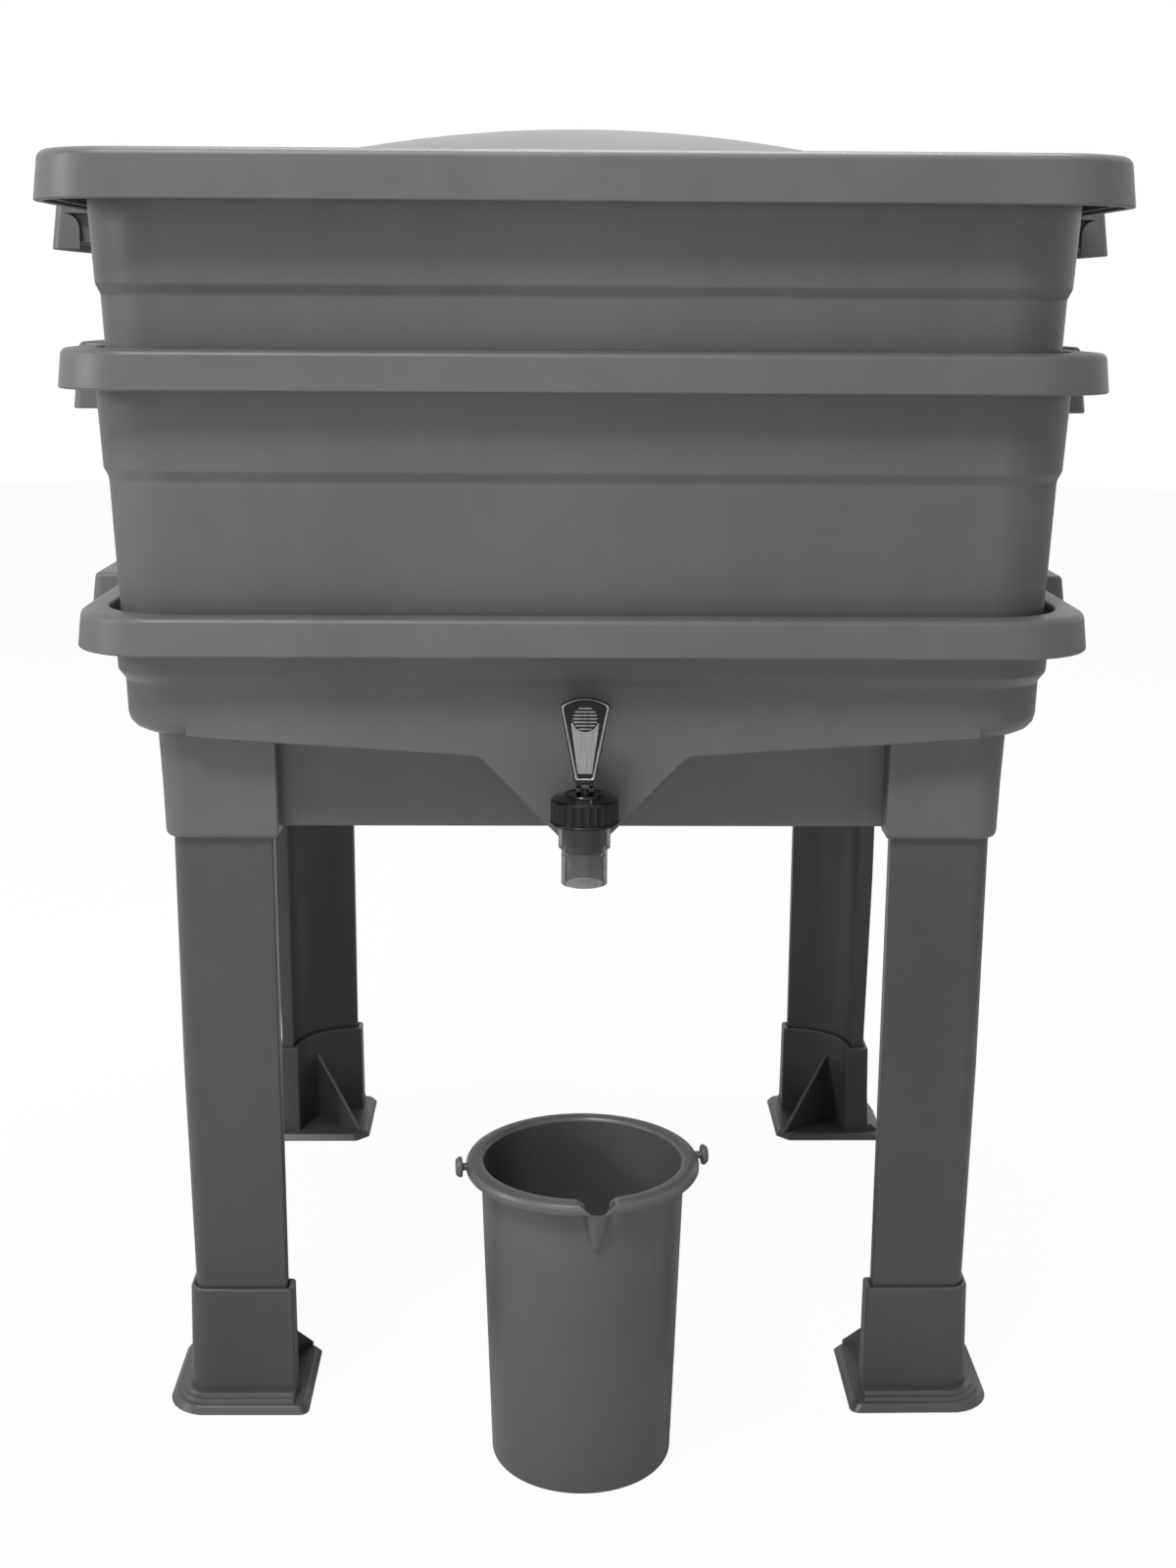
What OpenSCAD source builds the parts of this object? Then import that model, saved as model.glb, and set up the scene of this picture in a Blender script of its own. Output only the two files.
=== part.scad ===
// Wormery: two nesting worm trays and a lid over a collector tray with a tap,
// on four corner legs, with a small bucket under the tap.
// Millimetres. The floor is Z 0, the front is -Y, and the stack's centre is X 0, Y 0.

/* [Lid] */
// Clearance between the lid's skirt and the tray rim inside it
rim_fit = 1; // [0.6:0.1:2]
// How much the lid's skirt flares outward on each side
lid_flare = 3; // [1:0.5:4]
// Height of the lid's skirt
lid_skirt_h = 23; // [20:1:30]
// Wall of the lid
lid_wall = 2.5; // [2:0.25:3.5]
// Rounding of the lid's upper edge
lid_edge_r = 4; // [2:0.5:6]
// Radius of the dome at its foot
dome_r = 200; // [150:5:225]
// Height of the dome
dome_h = 27; // [15:1:45]
// Gap between a side flap of the lid and the tray handle inside it
flap_gap = 3.5; // [2.5:0.5:6]
// How far a side flap hangs below the lid's skirt
flap_drop = 20.5; // [10:0.5:26]
// Width of the tab that closes each end of a side flap
flap_tab_w = 15; // [10:1:20]

/* [Trays] */
// How far the lower edge of a rim stands out from the tray's body
rim_reach = 15; // [12.5:0.5:17.5]
// Height of the rims
rim_h = 18.5; // [14:0.5:22]
// How much a rim flares outward on each side
rim_flare = 2.2; // [1:0.2:3]
// Rounding of a rim's upper edge
rim_edge_r = 3; // [2:0.5:4]
// Plan radius of the corners of the rims
rim_corner_r = 45; // [40:1:55]
// Height of a worm tray
tray_h = 150; // [140:1:160]
// Height that a nested tray adds to the stack
tray_pitch = 90.4; // [84:0.2:98]
// Wall of the worm trays
tray_wall = 2.5; // [2:0.5:3]
// Width of the tray's body just under the rim
tray_top_w = 497; // [493:0.5:499]
// Plan radius of the corners of the tray's body
body_corner_r = 42; // [38:1:44]
// Draft of the upper part of the tray's body, on each side
tray_draft = 3; // [2:0.5:4]
// Inward step halfway down the tray's body, on each side
step_in = 2.5; // [2:0.5:4]
// Height of the step's sloping face
step_h = 5; // [3:0.5:8]
// Draft of the lower part of the tray's body, on each side
tray_low_draft = 3.5; // [2:0.5:5]
// Thickness of a tray's floor
floor_t = 3; // [2.5:0.5:4]
// Width of the inside ledge under the edge of the tray above
ledge_w = 5.5; // [4:0.5:8]
// Thickness of that ledge
ledge_t = 3; // [2:0.5:4]
// Side of a drain hole
drain_w = 8; // [5:0.5:10]
// Drain holes along each side of the floor
drain_n = 14; // [7:1:15]
// Distance from the tray's lower edge to the middle of the outermost drain holes
drain_margin = 44.5; // [38:0.5:80]

/* [Handles] */
// Length of each side handle
handle_len = 176; // [140:2:220]
// Reach of a handle beyond the rim's upper edge
handle_reach = 22; // [16:1:28]
// Height of a handle
handle_drop = 37; // [28:1:40]
// Flare of a handle's outer wall over its height
handle_flare = 5; // [2:0.5:6]
// Wall of a handle
handle_wall = 3; // [2.5:0.5:4]
// Plan radius of a handle's outer corners
handle_corner_r = 6; // [5:0.5:12]

/* [Collector] */
// How far the lower edge of the collector's rim stands out from its neck
col_rim_reach = 11.75; // [9:0.25:14]
// Height of the collector tray from its skirt's edge to the top of its rim
col_h = 120; // [116:1:122]
// Wall of the collector tray
col_wall = 3; // [2.5:0.5:3.5]
// Clearance between the lower tray's foot and the collector's wall
nest_fit = 1; // [0.5:0.25:2]
// Depth of the collector's ledge below the top of its rim
col_ledge_drop = 20; // [18.5:0.5:24]
// Depth of the upper band's foot below the top of the rim
band_drop = 37; // [34:1:40]
// How far the lower band stands in from the upper band
band_in = 4; // [3:0.5:5]
// Depth of the bowl's underside below the top of the rim
bowl_drop = 66; // [62:1:70]
// Rounding between the bowl's sides and its underside
bowl_edge_r = 10; // [6:1:14]
// Half width of the bowl's shallow fall towards the sump
dish_half_w = 190; // [150:5:200]
// Depth of that fall at the sump
dish_fall = 9; // [4:1:12]
// Length of that fall from the front to the back
dish_back = 200; // [180:5:260]
// Half width of the sump where it leaves the bowl
sump_half_w = 51; // [40:1:60]
// How far back the sump runs
sump_back = 150; // [100:5:170]
// Inside radius of the sump round the tap hole
sump_r = 11.5; // [11.25:0.25:13]
// Depth of the tap hole's axis below the top of the rim
tap_hole_drop = 109.7; // [108.5:0.1:112]
// Depth of the leg sockets' lower edge below the top of the rim
socket_drop = 123; // [123:0.5:126]
// Wall of a leg socket
socket_wall = 3.2; // [2.5:0.1:4]

/* [Legs and feet] */
// Height of the sockets' lower edge above the floor
socket_z = 331; // [280:1:400]
// How far the outer faces of the legs stand in from the tray's body under its rim
leg_set_in = 31; // [29.5:0.5:33.5]
// Width of one leg along each wall
leg_w = 53.5; // [50:0.5:56]
// Thickness of a leg at its two edges
leg_tip = 10.5; // [9:0.5:13]
// Rounding of a leg's outer corner
leg_corner_r = 9; // [5:0.5:12]
// Wall of the hollow leg
leg_wall = 3; // [2.5:0.25:3.5]
// Clearance between a leg and its socket or foot
leg_fit = 0.3; // [0.2:0.05:0.5]
// Height of a foot's boot above the floor
foot_h = 70; // [50:1:90]
// Wall of a foot's boot
foot_wall = 3.2; // [2.5:0.1:4]
// Thickness of a foot's base plate
plate_t = 5; // [4:0.5:6]
// Height of each of the two steps on the plate
foot_step_h = 2.3; // [1.5:0.1:3]
// Reach of the base plate beyond the boot on the outer sides
plate_reach = 11; // [7:0.5:12]
// Reach of the base plate beyond the leg on the inner sides
plate_inner = 12; // [9:0.5:14]
// Thickness of the foot's rib
rib_t = 2.5; // [2:0.25:4]
// How far the rib's upper end stays below the boot's edge
rib_drop = 15; // [10:1:25]

/* [Tap] */
// Distance from the sump's front face to the tap's upright axis
tap_reach = 25.5; // [24:0.5:30]
// Radius of the tap's shank
shank_r = 6; // [5.5:0.25:6.25]
// Bore radius of the shank
shank_bore_r = 3.2; // [2.5:0.1:3.6]
// Outer radius of the tap's body
body_r = 13.2; // [12.8:0.1:13.8]
// Outer radius of the spout
spout_r = 11.7; // [11:0.1:12.2]
// Wall of the tap's body and spout
body_wall = 1.8; // [1.5:0.1:2]
// Depth of the spout's mouth below the shank's axis
spout_drop = 24.5; // [18:0.5:30]
// Outer radius of the screw cap
cap_r = 17.3; // [16.8:0.1:18]
// Height of the cap's fluted ring
cap_ring_h = 12.6; // [11:0.1:14]
// Height of the cap's domed top
cap_dome_h = 2.6; // [2:0.2:5]
// Grip flutes round the cap
flute_n = 20; // [12:1:24]
// Height of the lever above its pin
lever_h = 46.2; // [40:0.2:60]
// Width of the lever's paddle near its top
lever_top_w = 25.3; // [20:0.1:30]
// Width of the paddle at its lower end
lever_low_w = 10.6; // [10:0.2:12]
// Thickness of the paddle
lever_t = 4; // [3.5:0.25:5]
// Radius of the lever's pin
pin_r = 1.2; // [1:0.1:1.4]
// Radius of the stem
stem_r = 2.5; // [2.2:0.1:2.8]
// Distance from the pin to the centre of the cam
cam_reach = 5.4; // [5:0.1:5.4]
// Radius of the back nut across its corners
nut_r = 11; // [10:0.25:11]
// Thickness of the back nut
nut_t = 6; // [4:0.5:8]
// Thickness of the rubber washers
washer_t = 1.8; // [1:0.1:2.5]

/* [Bucket] */
// Height of the bucket
bucket_h = 168; // [140:1:200]
// Outer radius of the bucket's wall under its rim
bucket_top_r = 53.5; // [50:0.5:58]
// Outer radius of the bucket's wall at its base
bucket_base_r = 48; // [42:0.5:50]
// Width of the rim beyond the wall
bucket_lip = 7.8; // [6:0.2:10]
// Height of the rim
bucket_lip_h = 6; // [5.5:0.5:9]
// Wall of the bucket
bucket_wall = 1.8; // [1.5:0.1:2.5]
// Rounding of the bucket's base
bucket_foot_r = 5; // [3:0.5:7]
// Turn of the bucket about its own axis, in degrees
bucket_turn = 7; // [0:1:15]
// Width of the pouring notch at the top of the rim
notch_w = 20; // [16:1:26]
// Depth of the pouring notch
notch_drop = 6.5; // [5:0.5:8]
// How far the beak under the notch runs down the wall
beak_drop = 27; // [20:1:40]
// Radius of a lug's round head
lug_head_r = 5.5; // [4:0.25:6]
// Radius of a lug's stem
lug_stem_r = 2; // [1.5:0.25:2.5]

/* [Hidden] */
$fn = 64;

plastic = [0.36, 0.35, 0.37];
dark_plastic = [0.28, 0.27, 0.29];
gloss_black = [0.08, 0.08, 0.09];
smoke = [0.35, 0.34, 0.36];
rubber = [0.14, 0.14, 0.15];
silver = [0.72, 0.72, 0.74];

// Overrun of every cut, thickness of a hull's layers, and the gap of pieces at rest
over = 1;
slice = 0.2;
seat = 0.3;
hull_fn = 32;
fine_fn = 96;
ridge_fn = 16;

// Widths of the trays, each from the one above it
mouth_w = tray_top_w - 2 * tray_wall;
tray_step_w = tray_top_w - 2 * tray_draft;
tray_low_w = tray_step_w - 2 * step_in;
tray_base_w = tray_low_w - 2 * tray_low_draft;
tray_rim_w = tray_top_w + 2 * rim_reach;
drain_pitch = (tray_base_w - 2 * drain_margin) / (drain_n - 1);
lid_w = tray_rim_w + 2 * (rim_fit + lid_wall + lid_flare);
neck_w = mouth_w + 2 * col_wall;
col_rim_w = neck_w + 2 * col_rim_reach;
band_w = tray_base_w + 2 * (nest_fit + col_wall);
band_r = body_corner_r - (tray_top_w - band_w) / 2;
bowl_w = band_w - 2 * band_in;
bowl_r = band_r - band_in;
bowl_lean = 1.5;
band_turn = 4;
handle_x = tray_rim_w / 2 - rim_flare + handle_reach;
col_handle_x = col_rim_w / 2 - rim_flare + handle_reach;
stance = tray_top_w - 2 * leg_set_in;
half_stance = stance / 2;
hollow_r = leg_w - leg_tip;
tip_ease = 0.1;

// Heights of the stack, from the floor up
col_top = socket_z + socket_drop;
skirt_z = col_top - col_h;
tap_z = col_top - tap_hole_drop;
bowl_z = col_top - bowl_drop;
bowl_floor_z = bowl_z + col_wall;
band_z = col_top - band_drop;
col_ledge_z = col_top - col_ledge_drop;
lower_top = col_ledge_z + seat + tray_h;
upper_top = lower_top + tray_pitch;
lid_top = upper_top + seat + lid_wall;
lid_low = lid_top - lid_skirt_h;
step_below = 1.1;
ledge_drop = tray_h - tray_pitch + seat;
step_drop = ledge_drop + step_below;
leg_low_z = plate_t + seat;
leg_fall = dish_fall * (dish_half_w - half_stance + leg_w)
           / (dish_half_w - sump_half_w - col_wall);
leg_high_z = bowl_z - max(0, leg_fall) - seat;

// The lid's flaps follow the handles
flap_extra_lean = 1;
flap_low_x = handle_x + handle_flare + flap_gap + lid_wall;
flap_top_x = flap_low_x - handle_flare - flap_extra_lean;
flap_half = handle_len / 2 + flap_gap + lid_wall;

// Places on the tap, from the shank's axis
cap_clear = 0.8;
cap_foot_h = 1.6;
cap_foot_out = 0.4;
cap_shoulder = 0.8;
cap_neck_r = 9.5;
cap_roof_t = 2.2;
cap_z = shank_r + cap_clear;
cap_top = cap_z + cap_ring_h + cap_dome_h;
body_top = cap_z + cap_ring_h - cap_roof_t;
flange_t = 3;
flange_r = 12;
shank_past_nut = 3;
lip_depth = 2.2;
lip_t = 2;
lip_w = 1.6;
chamber_r = body_r - body_wall;
chamber_below = 0.4;
chamber_z = -shank_bore_r - chamber_below;
body_step_z = chamber_z - body_wall;
spout_in_r = spout_r - body_wall;
lip_z = body_step_z - lip_depth;
seal_top = cap_z - seat;
seal_nose = 4;
seal_hole = 6;
stem_foot_r = 5;
stem_foot_t = 2;
stem_flat_w = 3.4;
stem_head_r = 2.3;
boss_r = 2.85;
cam_r = 1.6;
cam_angle = 85;
pin_fit = 0.05;
pin_z = cap_top + boss_r + seat;
fork_gap = 0.2;
fork_in = 0.9;
fork_w = lever_low_w - 2 * fork_in;
stem_flat_h = cam_reach + cam_r + seat + fork_gap;
thread_fit = 0.1;
paddle_low = 3.4;
arch_h = 4.3;
border_w = 1.8;
border_t = 0.8;
plate_w_low = 6.2;
plate_w_high = 13.2;
plate_rise = 4;
plate_below_top = 17;
plate_depth = 0.8;
plate_fit = 0.05;
ridge_n = 7;
ridge_pitch = 1.75;
ridge_w = 11;
ridge_r = 0.5;
ridge_below_top = 10.5;

// Places on the bucket
bucket_floor_t = 2.5;
beak_wall = 1.6;
notch_foot_w = 3.3;
beak_tip_r = 4;
beak_foot_r = 2.5;
lug_stem_out = 2.5;
lug_head_t = 3.4;

front_proud = 0.2;
front_y = -(bowl_w - bowl_lean) / 2 - front_proud;
tap_y = front_y - tap_reach;

// A square of width w with plan corners of radius r
module rounded_square(w, r) {
    inner = w / 2 - r;
    square([w, 2 * inner], center = true);
    square([2 * inner, w], center = true);
    for (x = [-inner, inner], y = [-inner, inner]) translate([x, y]) circle(r);
}

// A thin layer of a square box, for the tapered shapes
module layer(w, r, z) {
    translate([0, 0, z]) linear_extrude(slice) rounded_square(w, r, $fn = hull_fn);
}

// A box whose width goes from low_w at low_z to high_w at high_z; r is its lower corner
module tapered_box(low_w, high_w, r, low_z, high_z) {
    hull() {
        layer(low_w, r, low_z);
        layer(high_w, r + (high_w - low_w) / 2, high_z - slice);
    }
}

// A flared box with a rounded upper edge: w, r and low_z are those of its lower edge
module capped_box(w, r, flare, edge_r, low_z, high_z) {
    upper_w = w - 2 * flare;
    turn_in = edge_r * (1 - cos(45));
    hull() {
        layer(w, r, low_z);
        layer(upper_w, r - flare, high_z - edge_r - slice);
        layer(upper_w - 2 * turn_in, r - flare - turn_in, high_z - turn_in - slice);
        layer(upper_w - 2 * edge_r, r - flare - edge_r, high_z - slice);
    }
}

// A block that stands out sideways towards +X below Z 0, with a sloping outer wall and
// rounded plan corners. inset shrinks it and opens it below, for its hollow.
module side_block(from_x, top_x, low_x, len, drop, r, inset) {
    below = inset > 0 ? over : 0;
    out_x = low_x - inset;
    half = len / 2 - inset;
    corner = r - inset;
    intersection() {
        rotate([90, 0, 0]) linear_extrude(len, center = true)
            polygon([[from_x, -inset], [top_x - inset, -inset],
                     [out_x, -drop - below], [from_x, -drop - below]]);
        translate([0, 0, -drop - 2 * over]) linear_extrude(drop + 4 * over) union() {
            translate([from_x, -half]) square([out_x - corner - from_x, 2 * half]);
            translate([from_x, corner - half]) square([out_x - from_x, 2 * (half - corner)]);
            for (side = [-1, 1]) translate([out_x - corner, side * (half - corner)])
                circle(corner);
        }
    }
}

module both_sides() {
    children();
    mirror([1, 0, 0]) children();
}

// A hollow side handle, open below, whose outer wall is at top_x
module handle(wall_x, top_x) {
    difference() {
        side_block(wall_x, top_x, top_x + handle_flare, handle_len, handle_drop,
                   handle_corner_r, 0);
        side_block(wall_x - over, top_x, top_x + handle_flare, handle_len, handle_drop,
                   handle_corner_r, handle_wall);
    }
}

// The rim's land and flared skirt; the skirt is open inside the handles
module rim(w, top_z) {
    low_z = top_z - rim_h;
    difference() {
        capped_box(w, rim_corner_r, rim_flare, rim_edge_r, low_z, top_z);
        translate([0, 0, low_z - over]) linear_extrude(rim_h + 2 * over)
            rounded_square(mouth_w, body_corner_r - tray_wall);
        translate([0, 0, low_z - over]) linear_extrude(rim_h - tray_wall + over)
            rounded_square(w - 2 * rim_flare - 2 * tray_wall, rim_corner_r - rim_flare - tray_wall);
        for (side = [-1, 1])
            translate([side * (w / 2 - rim_flare), 0, low_z - over])
                translate([-rim_flare - tray_wall, handle_wall - handle_len / 2, 0])
                    cube([2 * (rim_flare + tray_wall), handle_len - 2 * handle_wall,
                          rim_h - handle_wall + over]);
    }
}

// A worm tray with the top of its rim at Z 0
module tray() {
    step_r = body_corner_r - tray_draft;
    low_r = step_r - step_in;
    base_r = low_r - tray_low_draft;
    difference() {
        union() {
            rim(tray_rim_w, 0);
            tapered_box(tray_step_w, tray_top_w, step_r, -step_drop, -tray_wall / 2);
            tapered_box(tray_low_w, tray_step_w, low_r, -step_drop - step_h, -step_drop + slice);
            tapered_box(tray_base_w, tray_low_w, base_r, -tray_h, -step_drop - step_h + slice);
        }
        // upper inside, down to the ledge
        tapered_box(tray_step_w - 2 * tray_wall, mouth_w, step_r - tray_wall, -ledge_drop, over);
        // opening through the ledge
        translate([0, 0, -ledge_drop - ledge_t - over]) linear_extrude(ledge_t + 2 * over)
            rounded_square(tray_base_w - 2 * ledge_w, base_r);
        // lower inside
        tapered_box(tray_base_w - 2 * tray_wall, tray_low_w - 2 * tray_wall,
                    base_r - tray_wall, floor_t - tray_h, -ledge_drop - ledge_t);
        drain_holes();
    }
    both_sides() handle(tray_top_w / 2 - tray_wall, handle_x);
}

module drain_holes() {
    first = -(drain_n - 1) * drain_pitch / 2;
    for (i = [0 : drain_n - 1], j = [0 : drain_n - 1])
        translate([first + i * drain_pitch, first + j * drain_pitch, floor_t / 2 - tray_h])
            cube([drain_w, drain_w, floor_t + 2 * over], center = true);
}

module upper_tray() {
    color(plastic) translate([0, 0, upper_top]) tray();
}

module lower_tray() {
    color(plastic) translate([0, 0, lower_top]) tray();
}

// One side flap of the lid, which covers a tray handle, as a block or as its hollow
module flap(from_x, inset) {
    translate([0, 0, lid_top])
        side_block(from_x, flap_top_x, flap_low_x, 2 * flap_half, lid_skirt_h + flap_drop,
                   handle_corner_r, inset);
}

// The opening beside the end tabs of a flap, below the skirt; the tab's corner is round
module flap_end_space() {
    low_z = lid_low - flap_drop - over;
    tab_x = flap_low_x - flap_tab_w;
    round_r = flap_tab_w / 2;
    inner_x = lid_w / 2 - lid_flare - lid_wall - over;
    translate([0, flap_half + over, 0]) rotate([90, 0, 0])
        linear_extrude(2 * (flap_half + over)) difference() {
            translate([inner_x, low_z]) square([tab_x + round_r - inner_x, lid_low - low_z]);
            translate([tab_x, low_z]) square([flap_tab_w, lid_low - round_r - low_z]);
            translate([tab_x + round_r, lid_low - round_r]) circle(round_r);
        }
}

// A shallow cap of a ball that stands on Z 0, with a foot below it
module dome_cap() {
    steps = 12;
    ball_r = (dome_r * dome_r + dome_h * dome_h) / (2 * dome_h);
    half_angle = asin(dome_r / ball_r);
    rotate_extrude($fn = fine_fn) polygon(concat(
        [[0, -over], [dome_r, -over]],
        [for (i = [0 : steps]) let (a = half_angle * (1 - i / steps))
            [ball_r * sin(a), ball_r * cos(a) - ball_r + dome_h]]));
}

module lid() {
    inner_w = lid_w - 2 * lid_flare - 2 * lid_wall;
    color(plastic) difference() {
        union() {
            capped_box(lid_w, rim_corner_r, lid_flare, lid_edge_r, lid_low, lid_top);
            both_sides() flap((inner_w + lid_wall) / 2, 0);
            translate([0, 0, lid_top]) dome_cap();
        }
        translate([0, 0, lid_low - over]) linear_extrude(lid_skirt_h - lid_wall + over)
            rounded_square(inner_w, rim_corner_r - lid_flare - lid_wall);
        both_sides() flap(inner_w / 2 - over, lid_wall);
        both_sides() flap_end_space();
        translate([0, 0, lid_top - lid_wall]) dome_cap();
    }
}

// Plan of a leg: a square with a round hollow in its inner corner. The outer corner is
// near 0, 0 and it runs towards +X and +Y; grow adds a skin all round.
module leg_plan(grow) {
    w = leg_w + 2 * grow;
    corner = leg_corner_r + grow;
    difference() {
        translate([-grow, -grow]) union() {
            translate([corner, 0]) square([w - corner, w]);
            translate([0, corner]) square([w, w - corner]);
            translate([corner, corner]) circle(corner);
        }
        leg_hollow(grow);
    }
}

// The round hollow of a leg plan, open at the inner corner
module leg_hollow(grow) {
    past = 2 * leg_w;
    tip = leg_tip + grow + tip_ease;
    translate([leg_w, leg_w]) circle(hollow_r - grow);
    translate([tip, leg_w - over]) square([past, past]);
    translate([leg_w - over, tip]) square([past, past]);
}

// Moves a corner piece to one of the four corners: sx and sy are -1 or 1
module at_corner(sx, sy) {
    translate([sx * half_stance, sy * half_stance, 0])
        mirror([sx > 0 ? 1 : 0, 0, 0]) mirror([0, sy > 0 ? 1 : 0, 0]) children();
}

module leg(sx, sy) {
    color(dark_plastic) at_corner(sx, sy) translate([0, 0, leg_low_z])
        linear_extrude(leg_high_z - leg_low_z) difference() {
            leg_plan(0);
            leg_plan(-leg_wall);
        }
}

// Plan of a base plate that reaches past the boot, chamfered at its inner corner
module plate_plan(reach) {
    out = leg_fit + foot_wall + reach;
    inner = leg_w + plate_inner;
    corner = leg_corner_r + out;
    difference() {
        translate([-out, -out]) union() {
            translate([corner, 0]) square([inner + out - corner, inner + out]);
            translate([0, corner]) square([inner + out, inner + out - corner]);
            translate([corner, corner]) circle(corner);
        }
        translate([inner, inner]) rotate(45)
            square([plate_inner, 4 * plate_inner], center = true);
    }
}

module foot(sx, sy) {
    skin = leg_fit + foot_wall;
    step_end = leg_w + skin;
    color(dark_plastic) at_corner(sx, sy) {
        difference() {
            union() {
                linear_extrude(plate_t) plate_plan(plate_reach);
                // two steps, on the outer sides only
                for (i = [1, 2]) linear_extrude(plate_t + i * foot_step_h) difference() {
                    intersection() {
                        plate_plan(plate_reach * (3 - i) / 3);
                        translate([-leg_w, -leg_w]) square(leg_w + step_end);
                    }
                    leg_hollow(skin);
                }
                linear_extrude(foot_h) leg_plan(skin);
            }
            translate([0, 0, plate_t]) linear_extrude(foot_h) leg_plan(leg_fit);
        }
        foot_rib(skin);
    }
}

// Upright rib between the boot's hollow side and the plate's inner corner
module foot_rib(skin) {
    wall_at = leg_w * sqrt(2) - hollow_r + skin - foot_wall / 2;
    end_at = (leg_w + plate_inner / 2) * sqrt(2);
    rotate(45) rotate([90, 0, 0]) linear_extrude(rib_t, center = true)
        polygon([[wall_at, plate_t / 2], [end_at, plate_t / 2], [wall_at, foot_h - rib_drop]]);
}

module front_left_leg() { leg(-1, -1); }
module front_right_leg() { leg(1, -1); }
module rear_left_leg() { leg(-1, 1); }
module rear_right_leg() { leg(1, 1); }
module front_left_foot() { foot(-1, -1); }
module front_right_foot() { foot(1, -1); }
module rear_left_foot() { foot(-1, 1); }
module rear_right_foot() { foot(1, 1); }

// A prism along Y from the front face, of an outline in X and Z
module front_prism(from_y, to_y) {
    translate([0, to_y, 0]) rotate([90, 0, 0]) linear_extrude(to_y - from_y) children();
}

// A prism along X, of an outline in Y and Z
module side_prism(half) {
    rotate([90, 0, 90]) linear_extrude(2 * half, center = true) children();
}

// The bowl's shallow fall to the sump: its underside at grow 0, its inside at lift col_wall
module dish(lift, from_y, top_z) {
    high = bowl_z + lift;
    low = high - dish_fall;
    half = sump_half_w + col_wall;
    intersection() {
        front_prism(from_y, front_y + dish_back)
            polygon([[-dish_half_w, top_z], [-dish_half_w, high], [-half, low],
                     [half, low], [dish_half_w, high], [dish_half_w, top_z]]);
        side_prism(dish_half_w + over)
            polygon([[front_y - over, top_z], [front_y - over, low], [front_y, low],
                     [front_y + dish_back, high], [front_y + dish_back, top_z]]);
    }
}

// Fills the bowl's round edge in front, so that the sump's face runs on from the lower band
module front_panel() {
    flat_half = bowl_w / 2 - bowl_r;
    top_z = bowl_z + bowl_edge_r - seat;
    front_prism(front_y, front_y + bowl_edge_r)
        polygon([[-flat_half, top_z], [flat_half, top_z], [dish_half_w, bowl_z],
                 [-dish_half_w, bowl_z]]);
}

// The sump: V sides down to a round bottom at the tap hole, and a floor that rises to the
// back. skin is added to the hollow for the outside.
module sump(skin, from_y, top_z) {
    steps = 12;
    r = sump_r + skin;
    half = sump_half_w + skin;
    edge_z = bowl_z - dish_fall;
    rise = edge_z - tap_z;
    touch = atan2(rise, half) - acos(r / norm([half, rise]));
    lean = (half - r * cos(touch)) / (rise - r * sin(touch));
    top_half = half + lean * (top_z - edge_z);
    bottom = tap_z - r - over;
    flat = col_wall + washer_t + nut_t + shank_past_nut + 2 * nut_t;
    intersection() {
        front_prism(from_y, front_y + sump_back)
            polygon(concat([[-top_half, top_z], [top_half, top_z]],
                [for (i = [0 : steps]) let (a = touch - (180 + 2 * touch) * i / steps)
                    [r * cos(a), tap_z + r * sin(a)]]));
        side_prism(top_half + over)
            polygon([[front_y - over, top_z], [front_y - over, bottom], [front_y + flat, bottom],
                     [front_y + sump_back, edge_z + col_wall - skin],
                     [front_y + sump_back, top_z]]);
    }
}

// Skirt below the bowl, between the leg sockets
module skirt_wall() {
    skirt_w = stance - 2 * (leg_tip + socket_wall / 2);
    gap_half = half_stance - leg_w - leg_fit - socket_wall / 2;
    translate([0, 0, skirt_z]) linear_extrude(bowl_z - skirt_z + col_wall / 2)
        intersection() {
            difference() {
                square(skirt_w, center = true);
                square(skirt_w - 2 * col_wall, center = true);
            }
            union() {
                square([2 * gap_half, skirt_w], center = true);
                square([skirt_w, 2 * gap_half], center = true);
            }
        }
}

// A leg socket, closed above by the bowl
module leg_socket(sx, sy) {
    at_corner(sx, sy) translate([0, 0, socket_z])
        linear_extrude(bowl_z - socket_z + col_wall / 2) difference() {
            leg_plan(leg_fit + socket_wall);
            leg_plan(leg_fit);
        }
}

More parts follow.
